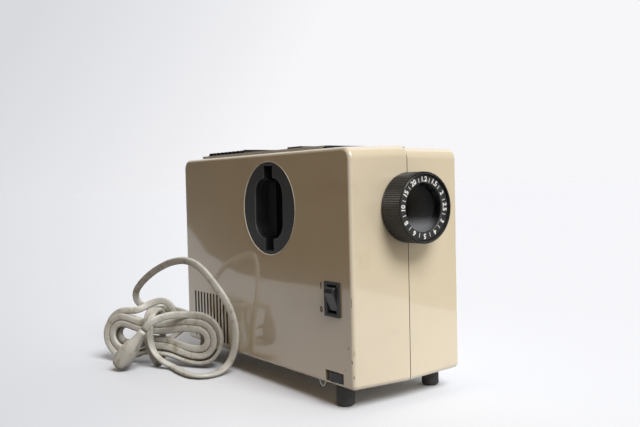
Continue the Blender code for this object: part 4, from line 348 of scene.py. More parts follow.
# Side vents: the field that holds their cuts, whose walls get painted shade, and the painted shade along
# each cut
VENT_FIELD_Y = (CASE_FRONT + 176.0 * MM, CASE_FRONT + 243.0 * MM)
VENT_FIELD_Z = (20.5 * MM, 65.0 * MM)
VENT_FIELD_SOFT = 1.0 * MM
CUT_DEPTHS = (0.12 * MM, 0.06 * MM)
CUT_SHADE_TONE = (0.020, 0.014, 0.009)
VENT_COUNT = 11
VENT_FIRST = CASE_FRONT + 179.0 * MM
VENT_PITCH = 6.0 * MM
VENT_HALF = 1.25 * MM
EDGE_SHADE_REACH = (0.15 * MM, 0.55 * MM)
EDGE_SHADE_END = 1.5 * MM
EDGE_SHADE_Z = (21.7 * MM, 63.7 * MM)
EDGE_SHADE_SOFT = (0.3 * MM, 0.4 * MM)
EDGE_SHADE_DEPTHS = (1.0 * MM, 0.5 * MM)
EDGE_SHADE_TONE = (0.055, 0.037, 0.024)


def worn_spots(tree, tone):
    """Ragged spots near the edges, where the finish has gone."""
    axes = object_axes(tree)
    ragged = spread(tree, object_noise(tree, 900.0, 5.0), *NOISE_RANGE, -0.45, 0.45)
    for middle, reach, depth in WORN:
        shares = [
            maths(tree, "DIVIDE", maths(tree, "SUBTRACT", value, at * MM), size * MM)
            for value, at, size in zip(axes, middle, reach)
        ]
        torn = maths(tree, "ADD", length_of(tree, *shares), ragged)
        tone = mix_colours(tree, spread(tree, torn, 0.75, 1.05, depth, 0.0), tone, WORN_TONE)
    return tone


def vent_shades(tree, tone):
    """Painted shade: darkens the inside of the side vents' cuts, and paints a dark band along their edges.
    """
    x, y, z = object_axes(tree)
    out = maths(tree, "ABSOLUTE", x)
    # Painted shade on the cuts' walls below the casing's face
    cut = product(
        tree, within(tree, y, *VENT_FIELD_Y, VENT_FIELD_SOFT),
        within(tree, z, *VENT_FIELD_Z, VENT_FIELD_SOFT),
        spread(tree, out, SIDE_X - CUT_DEPTHS[0], SIDE_X - CUT_DEPTHS[1], 1.0, 0.0),
    )
    tone = mix_colours(tree, cut, tone, CUT_SHADE_TONE)
    turn = maths(tree, "DIVIDE", maths(tree, "SUBTRACT", y, VENT_FIRST - VENT_PITCH / 2), VENT_PITCH)
    off = maths(tree, "ABSOLUTE", maths(tree, "SUBTRACT", maths(tree, "FRACT", turn), 0.5))
    low, high = ((VENT_HALF + reach) / VENT_PITCH for reach in EDGE_SHADE_REACH)
    last = VENT_FIRST + (VENT_COUNT - 1) * VENT_PITCH
    # Painted shade: a dark band along each cut on the casing's face
    edge_shade = product(
        tree, spread(tree, off, low, high, 0.8, 0.0),
        within(tree, y, VENT_FIRST - EDGE_SHADE_END, last + EDGE_SHADE_END, EDGE_SHADE_SOFT[0]),
        within(tree, z, *EDGE_SHADE_Z, EDGE_SHADE_SOFT[1]),
        spread(tree, out, SIDE_X - EDGE_SHADE_DEPTHS[0], SIDE_X - EDGE_SHADE_DEPTHS[1], 0.0, 1.0),
    )
    return mix_colours(tree, edge_shade, tone, EDGE_SHADE_TONE)


def casing_material():
    """Glossy beige moulding: faint orange peel, a thin film, spots near its edges where the finish has
    rubbed off, and painted shade in and along the vent cuts.
    """
    material, tree, shader = surface(
        "casing_beige", (0.655, 0.578, 0.430), 0.22, variation=0.03, patch=14.0, grain=900.0,
        depth=0.004 * MM, rough_spread=0.05,
    )
    tone = worn_spots(tree, tone_of(shader))
    film = object_noise(tree, 35.0, 8.0, (1.0, 0.25, 1.0))
    tone = mix_colours(tree, spread(tree, film, 0.60, 0.78, 0.0, 0.22), tone, FILM_TONE)
    out = maths(tree, "ABSOLUTE", object_axes(tree)[0])
    parting = spread(tree, out, PARTING_CORE, PARTING_HALF, 0.9, 0.0)
    tone = mix_colours(tree, parting, tone, PARTING_TONE)
    set_tone(tree, shader, vent_shades(tree, tone))
    shader.inputs["IOR"].default_value = 1.6
    shader.inputs["Coat Weight"].default_value = 1.0
    shader.inputs["Coat Roughness"].default_value = 0.05
    shader.inputs["Coat IOR"].default_value = 1.65
    return material


def glass_material(name, tint, straight=0.0):
    """Glass that lets lamp light through; coated glass lets the given share of all light go straight."""
    material, tree, shader = new_material(name)
    shader.inputs["Base Color"].default_value = (*tint, 1.0)
    shader.inputs["Transmission Weight"].default_value = 1.0
    shader.inputs["IOR"].default_value = 1.5
    dust = object_noise(tree, 420.0, 6.0)
    tree.links.new(spread(tree, dust, 0.45, 0.8, 0.0, 0.12), shader.inputs["Roughness"])
    path = put(tree, "ShaderNodeLightPath")
    clear = put(tree, "ShaderNodeBsdfTransparent")
    clear.inputs["Color"].default_value = (*tint, 1.0)
    mix = put(tree, "ShaderNodeMixShader")
    tree.links.new(maths(tree, "MAXIMUM", path.outputs["Is Shadow Ray"], straight), mix.inputs[0])
    tree.links.new(shader.outputs[0], mix.inputs[1])
    tree.links.new(clear.outputs[0], mix.inputs[2])
    tree.links.new(mix.outputs[0], tree.nodes["Material Output"].inputs["Surface"])
    return material


# Painted light in the lens barrel: its wall paler from a depth below the axis down to a deeper one, where
# light falls on it
LIT_BELOW = (7.0 * MM, 14.0 * MM)
LIT_TONE = (0.36, 0.35, 0.34)
RIDGE_DEPTH = 0.10 * MM


def barrel_material():
    """Black lacquer with the fine turned ridges that keep stray light down, painted paler below the axis
    where light falls on its lower wall.
    """
    material, tree, shader = surface(
        "barrel_black", (0.040, 0.040, 0.042), 0.34, variation=0.1, patch=200.0, depth=0.002 * MM)
    place = put(tree, "ShaderNodeTexCoord").outputs["Object"]
    rings = put(tree, "ShaderNodeTexWave", wave_type="BANDS", bands_direction="Y", wave_profile="SIN")
    rings.inputs["Scale"].default_value = 300.0
    tree.links.new(place, rings.inputs["Vector"])
    add_bump(tree, shader, rings.outputs["Fac"], RIDGE_DEPTH)
    height = object_axes(tree)[2]
    # Painted light: paler below the axis
    lit_below = spread(tree, height, OPTICAL_Z - LIT_BELOW[1], OPTICAL_Z - LIT_BELOW[0], 1.0, 0.0)
    set_tone(tree, shader, mix_colours(tree, lit_below, tone_of(shader), LIT_TONE))
    return material


# Depths below the tops of the focusing ring's flutes: where the painted shade between them begins, where it
# is full, the flutes' foot and the ring's core
FLUTE_SHADE_BEGINS = 0.16 * MM
FLUTE_SHADE_FULL = 0.42 * MM
FLUTE_FOOT = 1.22 * MM
RING_CORE = 1.32 * MM
FLUTE_SHADE_TONE = (0.004, 0.004, 0.004)


def knurl_material():
    """Black moulded ring, its flute tops in the ring's own tone and painted shade between the flutes."""
    material, tree, shader = surface(
        "knurled_ring", (0.026, 0.026, 0.027), 0.34, grain=1500.0, depth=0.010 * MM, variation=0.08)
    x, _, z = object_axes(tree)
    far = length_of(tree, x, maths(tree, "SUBTRACT", z, OPTICAL_Z))
    # Painted shade in the valleys between the flutes
    valley_shade = product(
        tree, spread(tree, far, KNURL_TOP - FLUTE_SHADE_FULL, KNURL_TOP - FLUTE_SHADE_BEGINS, 1.0, 0.0),
        spread(tree, far, KNURL_TOP - RING_CORE, KNURL_TOP - FLUTE_FOOT, 0.0, 1.0),
    )
    set_tone(tree, shader, mix_colours(tree, valley_shade, tone_of(shader), FLUTE_SHADE_TONE))
    shader.inputs["Specular IOR Level"].default_value = 0.36
    return material


# Slide port: depths below its face where painted shade darkens the recess, the reach of the painted
# highlight on the recess's lip and its depths
RECESS_SHADE_DEPTHS = (3.0 * MM, 1.0 * MM)
LIP_HIGHLIGHT_REACH = (26.5 * MM, 28.0 * MM)
LIP_HIGHLIGHT_DEPTHS = (0.50 * MM, 0.06 * MM)
LIP_HIGHLIGHT_SOFT = 0.04 * MM
RECESS_SHADE_TONE = (0.007, 0.0075, 0.0085)
LIP_HIGHLIGHT_TONE = (0.115, 0.118, 0.12)


def port_material():
    """Satin black port face with a painted highlight along the recess's lip, and painted shade in its
    recess and slot.
    """
    material, tree, shader = surface(
        "port_black", (0.0215, 0.0235, 0.0260), 0.42, grain=2200.0, depth=0.03 * MM, variation=0.10)
    x, y, z = object_axes(tree)
    out = maths(tree, "ABSOLUTE", x)
    # Painted shade deeper in the recess and slot
    recess_shade = spread(tree, out, SIDE_X - RECESS_SHADE_DEPTHS[0], SIDE_X - RECESS_SHADE_DEPTHS[1], 1.0, 0.0)
    tone = mix_colours(tree, recess_shade, tone_of(shader), RECESS_SHADE_TONE)
    far = length_of(tree, maths(tree, "SUBTRACT", y, PORT_Y), maths(tree, "SUBTRACT", z, OPTICAL_Z))
    # Painted highlight along the recess's lip
    lip_highlight = product(
        tree, within(tree, out, SIDE_X - LIP_HIGHLIGHT_DEPTHS[0], SIDE_X - LIP_HIGHLIGHT_DEPTHS[1], LIP_HIGHLIGHT_SOFT),
        spread(tree, far, *LIP_HIGHLIGHT_REACH, 1.0, 0.0), 0.8,
    )
    set_tone(tree, shader, mix_colours(tree, lip_highlight, tone, LIP_HIGHLIGHT_TONE))
    return material


# Painted sheen along the cover's lower edge: heights above the casing's top and distances from the cover's
# side
COVER_SHEEN_UP = (1.2 * MM, 2.0 * MM)
COVER_SHEEN_IN = (0.7 * MM, 0.4 * MM)
COVER_SHEEN_TONE = (0.43, 0.425, 0.41)


def cover_material():
    """Black moulded cover, painted grey along its lower edge as a painted sheen."""
    material, tree, shader = surface(
        "cover_black", (0.0205, 0.0215, 0.0235), 0.46, grain=2600.0, depth=0.05 * MM, variation=0.12)
    x, _, z = object_axes(tree)
    out = maths(tree, "ABSOLUTE", x)
    # Painted sheen: a grey band along the cover's lower edge
    edge = product(
        tree, spread(tree, z, SHELL_TOP + COVER_SHEEN_UP[0], SHELL_TOP + COVER_SHEEN_UP[1], 0.9, 0.0),
        spread(tree, out, COVER_SIDE - COVER_SHEEN_IN[0], COVER_SIDE - COVER_SHEEN_IN[1], 0.0, 1.0),
    )
    set_tone(tree, shader, mix_colours(tree, edge, tone_of(shader), COVER_SHEEN_TONE))
    return material


# Painted shade on the lead where something is this near, and specks
NOOK_REACH = 7.0 * MM
NOOK_SHADE_TONE = (0.13, 0.11, 0.075)
SPECK_TONE = (0.12, 0.09, 0.06)


def cord_material():
    """Soiled off-white sheath: dirt in patches, painted shade where turns meet, a slight shine and small
    nicks.
    """
    material, tree, shader = surface(
        "sheath", (0.556, 0.554, 0.515), 0.40, variation=0.10, patch=45.0, grain=420.0, depth=0.12 * MM,
        rough_spread=0.09, dirt=(0.30, 0.26, 0.18), dirt_from=0.62,
    )
    nook = put(tree, "ShaderNodeAmbientOcclusion", samples=8)
    nook.inputs["Distance"].default_value = NOOK_REACH
    uneven = spread(tree, object_noise(tree, 260.0, 4.0), *NOISE_RANGE, -0.2, 0.2)
    # Painted shade from ambient occlusion where turns meet
    nook_shade = spread(tree, maths(tree, "ADD", nook.outputs["AO"], uneven), 0.20, 0.70, 0.66, 0.0)
    tone = mix_colours(tree, nook_shade, tone_of(shader), NOOK_SHADE_TONE)
    specks = spread(tree, object_noise(tree, 700.0, 3.0), 0.68, 0.74, 0.0, 0.75)
    set_tone(tree, shader, mix_colours(tree, specks, tone, SPECK_TONE))
    return material


CASING = casing_material()
SHEATH = cord_material()
PORT_BLACK = port_material()
BLACK = surface(
    "black_moulding", (0.0205, 0.0215, 0.0235), 0.50, grain=2600.0, depth=0.05 * MM, variation=0.12)[0]
BLACK_SMOOTH = surface("black_smooth", (0.022, 0.023, 0.026), 0.30, grain=1500.0, depth=0.015 * MM)[0]
RUBBER = surface(
    "foot_rubber", (0.043, 0.046, 0.049), 0.72, variation=0.2, patch=160.0, grain=1500.0, depth=0.06 * MM,
    dirt=(0.11, 0.10, 0.085), dirt_from=0.66)[0]
STEEL = surface(
    "plated_steel", (0.56, 0.56, 0.55), 0.30, 1.0, grain=900.0, stretch=(1, 1, 14), depth=0.01 * MM)[0]
ALUMINIUM = surface("bright_aluminium", (0.76, 0.76, 0.77), 0.26, 1.0, grain=900.0, stretch=(12, 1, 1))[0]
CERAMIC = surface("unglazed_ceramic", (0.78, 0.75, 0.70), 0.62, patch=120.0, dirt=(0.35, 0.28, 0.2))[0]
COPPER = surface(
    "winding_tape", (0.52, 0.33, 0.12), 0.38, 0.1, stretch=(1, 1, 9), grain=500.0, depth=0.1 * MM)[0]
GREY = surface("grey_moulding", (0.33, 0.33, 0.32), 0.48)[0]
BLACK_METAL = surface("stove_enamel", (0.024, 0.024, 0.026), 0.44, 0.3, variation=0.15)[0]
PAINT = surface("white_paint", (0.80, 0.80, 0.78), 0.55, variation=0.08, patch=900.0)[0]
INK = surface("brown_ink", (0.055, 0.038, 0.022), 0.5, variation=0.25, patch=900.0)[0]
# Painted highlight: the pale finish of the port's rim
RIM_HIGHLIGHT = surface(
    "port_rim_highlight", (0.95, 0.90, 0.80), 0.30, variation=0.10, patch=150.0, grain=900.0, depth=0.01 * MM)[0]
GLASS = glass_material("lens_glass", (0.93, 0.95, 0.97))
COATED = glass_material("coated_glass", (0.80, 0.815, 0.835), 0.92)
HEAT_GLASS = glass_material("heat_glass_tint", (0.72, 0.9, 0.84))

# Finishes: by material slot, and by node where a node has one of its own
SLOT_FINISH = {
    "casing": CASING, "black_plastic": BLACK, "black_metal": BLACK_METAL, "rubber": RUBBER, "glass": GLASS,
    "heat_glass": HEAT_GLASS, "steel": STEEL, "aluminium": ALUMINIUM, "ceramic": CERAMIC, "copper": COPPER,
    "grey_plastic": GREY, "lead_grey": SHEATH,
}
NODE_FINISH = {
    "lens_barrel": barrel_material(), "front_glass": COATED, "switch_rocker": BLACK_SMOOTH,
    "focus_ring": knurl_material(), "top_cover": cover_material(),
}

# Edge roundings of the moulded nodes, in millimetres; other nodes keep their edges
EDGE_ROUNDS = {
    "left_shell": 0.35, "right_shell": 0.35, "top_cover": 0.3, "switch_body": 0.35, "switch_rocker": 0.45,
    "name_ring": 0.25, "foot_wheel_left": 0.2, "foot_wheel_right": 0.2, "front_foot_left": 0.4,
    "front_foot_right": 0.4, "rear_foot_left": 0.4, "rear_foot_right": 0.4, "strain_relief": 0.3,
}
WELD_REACH = 0.002 * MM
FLAT_ANGLE = radians(0.6)
ROUNDED_FROM = radians(40.0)
SHARP_FROM = radians(32.0)
EVEN_WEIGHT = 50


def dress_nodes():
    """Gives every CAD node its finish, welds its facets, rounds its edges and evens its shading."""
    slots = {row["node"]: row["material_slot"] for row in frame["record"]["subparts"]}
    for name, node in frame["nodes"].items():
        finish = NODE_FINISH.get(name, SLOT_FINISH[slots[name]])
        for held in node.material_slots:
            held.material = finish
        mesh = node.data
        if "custom_normal" in mesh.attributes:
            mesh.attributes.remove(mesh.attributes["custom_normal"])
        mesh.shade_smooth()
        weld = node.modifiers.new("weld", "WELD")
        weld.merge_threshold = WELD_REACH
        flat = node.modifiers.new("flat", "DECIMATE")
        flat.decimate_type = "DISSOLVE"
        flat.angle_limit = FLAT_ANGLE
        if name in EDGE_ROUNDS:
            rounding = node.modifiers.new("rounding", "BEVEL")
            rounding.width = EDGE_ROUNDS[name] * MM
            rounding.segments = 2
            rounding.limit_method = "ANGLE"
            rounding.angle_limit = ROUNDED_FROM
            rounding.use_clamp_overlap = True
            even = node.modifiers.new("even", "WEIGHTED_NORMAL")
            even.weight = EVEN_WEIGHT
            even.keep_sharp = False
        else:
            sharp = node.modifiers.new("sharp", "EDGE_SPLIT")
            sharp.split_angle = SHARP_FROM


# Route of the lead
def beside_hank(along, up, out):
    """A place by the hank: along it, up from the floor and out towards the front."""
    return Vector((
        -HANK_FOOT_SIDE + along * cos(HANK_TURN) - out * sin(HANK_TURN),
        HANK_FOOT_BACK - along * sin(HANK_TURN) - out * cos(HANK_TURN),
        up,
    ))


def ease(share):
    share = min(max(share, 0.0), 1.0)
    return share * share * (3 - 2 * share)


def drawn_in(along, span):
    """How far a run is drawn in at the waist: fully within the span, less and less beside it."""
    if along < span[0]:
        return 1 - ease((span[0] - along) / WAIST_LEFT_RAMP)
    return 1 - ease((along - span[1]) / WAIST_RIGHT_RAMP)


def hank_point(turn):
    """The hank spirals in, climbs a layer towards the front and spirals out again."""
    if turn < HANK_CLIMB:
        inset = HANK_PITCH * (turn - HANK_START)
    elif turn < HANK_CLIMBED:
        inset = HANK_PITCH * (HANK_CLIMB - HANK_START)
    else:
        inset = HANK_PITCH * (HANK_CLIMB - HANK_START - (turn - HANK_CLIMBED))
    rise = HANK_HALF_HEIGHT - inset
    left, right = HANK_HALF_HEIGHT - HANK_LEFT, HANK_RIGHT - HANK_HALF_HEIGHT
    quarter, share = divmod(turn % 1 * 4, 1)
    if quarter == 0:
        along, up = right + (left - right) * share, rise
    elif quarter == 1:
        along, up = left - rise * sin(pi * share), rise * cos(pi * share)
    elif quarter == 2:
        along, up = left + (right - left) * share, -rise
    else:
        along, up = right + rise * sin(pi * share), -rise * cos(pi * share)
    if up > 0:
        up -= WAIST_TOP_DROP * drawn_in(along, WAIST_TOP_SPAN)
    else:
        up += WAIST_LOW_RISE * drawn_in(along, WAIST_LOW_SPAN)
    climbed = ease((turn - HANK_CLIMB) / (HANK_CLIMBED - HANK_CLIMB))
    return beside_hank(along, HANK_MIDDLE + up, HANK_LAYER * (climbed - 1 / 2))


def between(low, high, first, second, at):
    return first * ((high - at) / (high - low)) + second * ((at - low) / (high - low))


def smooth_route(points, parts=16):
    """A smooth curve through the points, with straight end pieces."""
    fine = [points[0]]
    for a, b, c, d in zip(points, points[1:], points[2:], points[3:]):
        t1 = sqrt((b - a).length)
        t2 = t1 + sqrt((c - b).length)
        t3 = t2 + sqrt((d - c).length)
        for i in range(parts):
            t = t1 + (t2 - t1) * i / parts
            ab, bc, cd = between(0, t1, a, b, t), between(t1, t2, b, c, t), between(t2, t3, c, d, t)
            fine.append(between(t1, t2, between(0, t2, ab, bc, t), between(t1, t3, bc, cd, t), t))
    return [*fine, points[-2], points[-1]]


def evenly(points, step):
    """Places at even steps along the points."""
    rows = np.array([tuple(point) for point in points])
    far = np.concatenate(([0.0], np.cumsum(np.linalg.norm(np.diff(rows, axis=0), axis=1))))
    places = np.linspace(0, far[-1], max(2, round(far[-1] / step)) + 1)
    return np.stack([np.interp(places, far, column) for column in rows.T], axis=1)


def softened(rows, rounds):
    """Evens out the small kinks where two stretches of the route meet; the ends stay."""
    for _ in range(rounds):
        inner = (rows[:-2] + 2 * rows[1:-1] + rows[2:]) / 4
        rows = np.concatenate((rows[:1], inner, rows[-1:]))
    return rows


def in_hank_sizes(route):
    return [beside_hank(*(size * MM for size in point)) for point in route]


def cord_route():
    """The whole centre line, from the strain relief to the plug, and the plug's axis."""
    along = (beside_hank(1, 0, 0) - beside_hank(0, 0, 0)) * CORD_TUBE
    joint = along.normalized() * CORD_GAP
    turns = round((HANK_END - HANK_START) * LOOP_POINTS)
    hank = [hank_point(HANK_START + (HANK_END - HANK_START) * i / turns) for i in range(turns + 1)]
    hank = [hank[0] + along, *hank, hank[-1] - along]
    lead = [CORD_EXIT, CORD_EXIT + Vector((0, CORD_GAP + CORD_TUBE, 0))]
    lead += [Vector(point) * MM for point in LEAD_ROUTE]
    end = (lead[-1] - lead[-2]).normalized()
    lead[-2] = lead[-1] - end * CORD_TUBE
    wrap = [lead[-1] + end * CORD_GAP, lead[-1] + end * (CORD_GAP + CORD_TUBE), *in_hank_sizes(WRAP_ROUTE)]
    wrap += [hank[0] + joint + along, hank[0] + joint]
    tail = [hank[-1] - joint, hank[-1] - joint - along, *in_hank_sizes(TAIL_ROUTE)]
    plug_axis = (in_hank_sizes([PLUG_FAR_END])[0] - tail[-1]).normalized()
    tail.append(tail[-1] + plug_axis * CORD_TUBE)
    whole = [*smooth_route(lead), *smooth_route(wrap), *hank, *smooth_route(tail)]
    whole.append(tail[-1] + plug_axis * 2 * CORD_GAP)
    return softened(evenly(whole, CORD_STEP), CORD_SOFTENING), plug_axis


def thin_side(rows):
    """The way ahead at each point, and the thin side's: up on the floor, to the front in the hank."""
    up = np.array((0.0, 0.0, 1.0))
    out = np.array(tuple(beside_hank(0, 0, 1) - beside_hank(0, 0, 0)))
    ahead = np.gradient(rows, axis=0)
    ahead /= np.linalg.norm(ahead, axis=1)[:, None]
    side = up
    sides = []
    for i, (row, tangent) in enumerate(zip(rows, ahead)):
        low = 1 - ease((row[2] - FLOOR_HOLD) / FLOOR_FADE)
        wish = low * up + (1 - low) * out
        wish = wish - tangent * (wish @ tangent)
        side = side - tangent * (side @ tangent)
        side /= np.linalg.norm(side)
        if wish @ side < 0:
            wish = -wish
        side = side + CORD_TURN_SHARE * (wish @ wish) * wish
        side /= np.linalg.norm(side)
        sway = SWAY * noise.noise(Vector((i * SWAY_PACE, *SWAY_PLACE)))
        across = np.cross(tangent, side)
        sides.append(side * cos(sway) + across * sin(sway))
    return ahead, np.array(sides)


def rounded_section(sides, half_wide, half_deep, rounding):
    """Points round a section between an ellipse, at a rounding of 1, and a rectangle, at 0."""
    points = []
    for k in range(sides):
        x, y = cos(2 * pi * k / sides), sin(2 * pi * k / sides)
        points.append((
            np.sign(x) * abs(x) ** rounding * half_wide, np.sign(y) * abs(y) ** rounding * half_deep))
    return points


def tube_faces(rings, sides):
    """Faces between rings of vertices, with both ends closed."""
    faces = []
    for i in range(rings - 1):
        for k in range(sides):
            a, b = i * sides + k, i * sides + (k + 1) % sides
            faces.append((a, b, b + sides, a + sides))
    faces.append(tuple(range(sides))[::-1])
    faces.append(tuple((rings - 1) * sides + k for k in range(sides)))
    return faces


def cord_mesh(rows):
    ahead, thin = thin_side(rows)
    wide = np.cross(ahead, thin)
    section = rounded_section(CORD_SIDES, CORD_WIDTH / 2, CORD_THICKNESS / 2, CORD_ROUNDING)
    vertices = []
    for row, flat, broad in zip(rows, thin, wide):
        vertices += [row + broad * x + flat * y for x, y in section]
    return as_mesh("mains_cord", vertices, tube_faces(len(rows), CORD_SIDES))


def plug_frame(cord_end, along):
    """Stands in the plug, along its axis, with its thin side towards the front."""
    out = beside_hank(0, 0, 1) - beside_hank(0, 0, 0)
    out = (out - along * out.dot(along)).normalized()
    turn = Matrix((along, out.cross(along), out)).transposed().to_4x4()
    turn.translation = cord_end + along * (CORD_GAP + PLUG_TAIL)
    return turn


def add_plug(cord_end, along):
    """Moulded flat plug with rounded sides, and its two pins turned towards the hank."""
    vertices = []
    for x, half_wide, half_deep in PLUG_SECTIONS:
        section = rounded_section(PLUG_SIDES, half_wide * MM, half_deep * MM, PLUG_ROUNDING)
        vertices += [(x * MM, y, z) for y, z in section]
    mesh = as_mesh("plug_body", vertices, tube_faces(len(PLUG_SECTIONS), PLUG_SIDES))
    turn = plug_frame(cord_end, along)
    mesh.transform(turn)
    plug = link("plug_body", mesh)
    plug.data.materials.append(SHEATH)
    smooth = plug.modifiers.new("smooth", "SUBSURF")
    smooth.levels = smooth.render_levels = 1
    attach(plug, "casing")
    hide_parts("mains_plug")
    pins = []
    for number, x in enumerate(PIN_PLACES, 1):
        profile = [(PIN_RADIUS * share, -PLUG_DEPTH / 2 - far) for share, far in PIN_OUTLINE]
        pin = lathe(f"plug_pin_{number}", profile, PIN_SIDES, STEEL)
        pin.data.transform(turn @ Matrix.Translation((x * MM, 0, 0)))
        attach(pin, "casing")
        pins.append(pin)
    return [plug, *pins]


def lathe(name, profile, steps, material, capped=True):
    """A turned piece about Z from (radius, height) pairs: capped, or a ring with a closed profile."""
    vertices, faces = [], []
    for radius, height in profile:
        for k in range(steps):
            vertices.append((radius * cos(2 * pi * k / steps), radius * sin(2 * pi * k / steps), height))
    for i in range(len(profile) - 1):
        for k in range(steps):
            a, b = i * steps + k, i * steps + (k + 1) % steps
            faces.append((a, a + steps, b + steps, b))
    last = len(profile) - 1
    if capped:
        faces.append(tuple(range(steps)))
        faces.append(tuple(last * steps + k for k in range(steps))[::-1])
    else:
        for k in range(steps):
            a, b = last * steps + k, last * steps + (k + 1) % steps
            faces.append((a, k, (k + 1) % steps, b))
    mesh = as_mesh(name, vertices, faces)
    bm = bmesh.new()
    bm.from_mesh(mesh)
    bmesh.ops.recalc_face_normals(bm, faces=bm.faces)
    bm.to_mesh(mesh)
    bm.free()
    piece = link(name, mesh)
    piece.data.materials.append(material)
    return piece


def add_cord():
    rows, plug_axis = cord_route()
    piece = link("mains_cord", cord_mesh(rows))
    piece.data.materials.append(SHEATH)
    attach(piece, "casing")
    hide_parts("cord_lead", "cord_wrap", "cord_hank", "cord_tail")
    with_pieces = add_plug(Vector(rows[-1]), plug_axis)


# Raised paint: a capital's share of its type size, the paint's half depth, its middle's height over
# the face and the boldness of its strokes
CAPITAL_SHARE = 0.72
PAINT_HALF = 0.06 * MM
PAINT_LIFT = 0.02 * MM
STROKE_SHARE = 0.035


def lettering(name, rows, material, body, bold=STROKE_SHARE):
    """Figures as thin raised paint: each row is the text, its capital height and the frame it stands in."""
    joined = bmesh.new()
    for text, height, place in rows:
        curve = bpy.data.curves.new(name, "FONT")
        curve.body = text
        curve.align_x, curve.align_y = "CENTER", "CENTER"
        curve.size = height / CAPITAL_SHARE
        curve.extrude = PAINT_HALF
        curve.resolution_u = 4
        curve.offset = height * bold
        maker = link(f"{name}_maker", curve)
        mesh = bpy.data.meshes.new_from_object(maker.evaluated_get(bpy.context.evaluated_depsgraph_get()))
        mesh.transform(place)
        joined.from_mesh(mesh)
        bpy.data.objects.remove(maker)
        bpy.data.meshes.remove(mesh)
    made = bpy.data.meshes.new(name)
    joined.to_mesh(made)
    joined.free()
    piece = link(name, made)
    made.materials.append(material)
    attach(piece, body)


RING_NUMBERS = ("1.2", "1.5", "2", "2.5", "3", "4", "5", "6", "8", "10", "15", "20")
RING_MIDDLE = 20.5 * MM
RING_TEXT = 3.7 * MM
RING_TICK = 2.4 * MM


def ring_frame(angle, radius):
    """Stands on the number ring at an angle clockwise from its top, its head outwards."""
    level = Vector((cos(angle), 0, -sin(angle)))
    up = Vector((sin(angle), 0, cos(angle)))
    turn = Matrix((level, up, level.cross(up))).transposed().to_4x4()
    turn.translation = Vector((0, NAME_RING_Y - PAINT_LIFT, OPTICAL_Z)) + up * radius
    return turn


def add_ring_marks():
    step = 2 * pi / len(RING_NUMBERS)
    rows = [(text, RING_TEXT, ring_frame(i * step, RING_MIDDLE)) for i, text in enumerate(RING_NUMBERS)]
    rows += [("|", RING_TICK, ring_frame((i + 0.5) * step, RING_MIDDLE)) for i in range(len(RING_NUMBERS))]
    lettering("ring_numbers", rows, PAINT, "focus")


# Marks behind the switch: figure, height of its middle above the switch's and height of the figure
SWITCH_MARKS = (("1", 8.5 * MM, 4.6 * MM), ("0", -9.2 * MM, 4.2 * MM))
MARK_BACK = 14.4 * MM
MARK_BOLD = 0.065


def add_switch_marks():
    turn = Matrix(((0, 0, -1), (-1, 0, 0), (0, 1, 0))).to_4x4()
    rows = []
    for text, up, height in SWITCH_MARKS:
        place = turn.copy()
        place.translation = (-SIDE_X - PAINT_LIFT, SWITCH_Y + MARK_BACK, SWITCH_Z + up)
        rows.append((text, height, place))
    lettering("switch_marks", rows, INK, "casing", MARK_BOLD)


# Slide ports: half sizes along y and z, depths below the casing's side, and the rim of the hole
SLOT_HALF = (6.45 * MM, 34.5 * MM)
RECESS_HALF = (20.3 * MM, 24.6 * MM)
RECESS_STEP = 1.6 * MM
RECESS_STEP_DEPTH = 4.5 * MM
RECESS_DEPTH = 12.0 * MM
CORNER_STEPS = 10
PORT_DEPTH = 13.8 * MM
PORT_LIP = 0.55 * MM
LIP_STEPS = 4
PORT_BEVEL = 0.3 * MM
PORT_EDGE_DEPTH = 3.0 * MM
PORT_STEPS = 128
RIM_WIDTH = 0.6 * MM
RIM_LAP = 0.25 * MM
RIM_PROUD = 0.25 * MM
RIM_DEPTH = 0.35 * MM
RIM_BACK_DEPTH = 0.78 * MM
DOUBLES_REACH = 0.01 * MM
TINY_EDGE = 0.005 * MM


def mouth_outline(inset):
    """The finger recess with rounded corners, and the slot that runs through it, as one closed outline."""
    slot_y, slot_z = SLOT_HALF
    radius = RECESS_HALF[0] - slot_y - inset
    centre_z = RECESS_HALF[1] - inset - radius
    side = [(slot_y, slot_z)]
    for i in range(CORNER_STEPS + 1):
        angle = pi / 2 * (1 - i / CORNER_STEPS)
        side.append((slot_y + radius * cos(angle), centre_z + radius * sin(angle)))
    side += [(y, -z) for y, z in side[::-1]]
    return np.array(side + [(-y, -z) for y, z in side])


def moved_out(outline, distance):
    """The outline with each side moved outwards."""
    ahead = np.roll(outline, -1, axis=0) - outline
    ahead /= np.linalg.norm(ahead, axis=1)[:, None]
    out = np.stack([-ahead[:, 1], ahead[:, 0]], axis=1)
    before = np.roll(out, 1, axis=0)
    return outline + distance * (out + before) / (1 + (out * before).sum(axis=1))[:, None]


def port_walls(inner):
    """Outlines with their depths: from the lip down into the recess, and down the port's round edge."""
    mouth = mouth_outline(0.0)
    turns = [pi / 2 * i / LIP_STEPS for i in range(LIP_STEPS + 1)]
    recess = [(moved_out(mouth, PORT_LIP * (1 - sin(t))), PORT_LIP * (1 - cos(t))) for t in turns]
    recess += [(mouth, RECESS_STEP_DEPTH), (inner, RECESS_STEP_DEPTH), (inner, RECESS_DEPTH)]
    angles = [2 * pi * k / PORT_STEPS for k in range(PORT_STEPS)]
    circle = np.array([(cos(angle), sin(angle)) for angle in angles])
    face_radius = PORT_RADIUS - RIM_WIDTH
    edge = [
        (circle * face_radius, 0.0), (circle * (face_radius + PORT_BEVEL), PORT_BEVEL),
        (circle * PORT_RADIUS, PORT_EDGE_DEPTH),
    ]
    return recess, edge


def port_point(bm, side, point, depth):
    return bm.verts.new((side * (SIDE_X - depth), PORT_Y + point[0], OPTICAL_Z + point[1]))


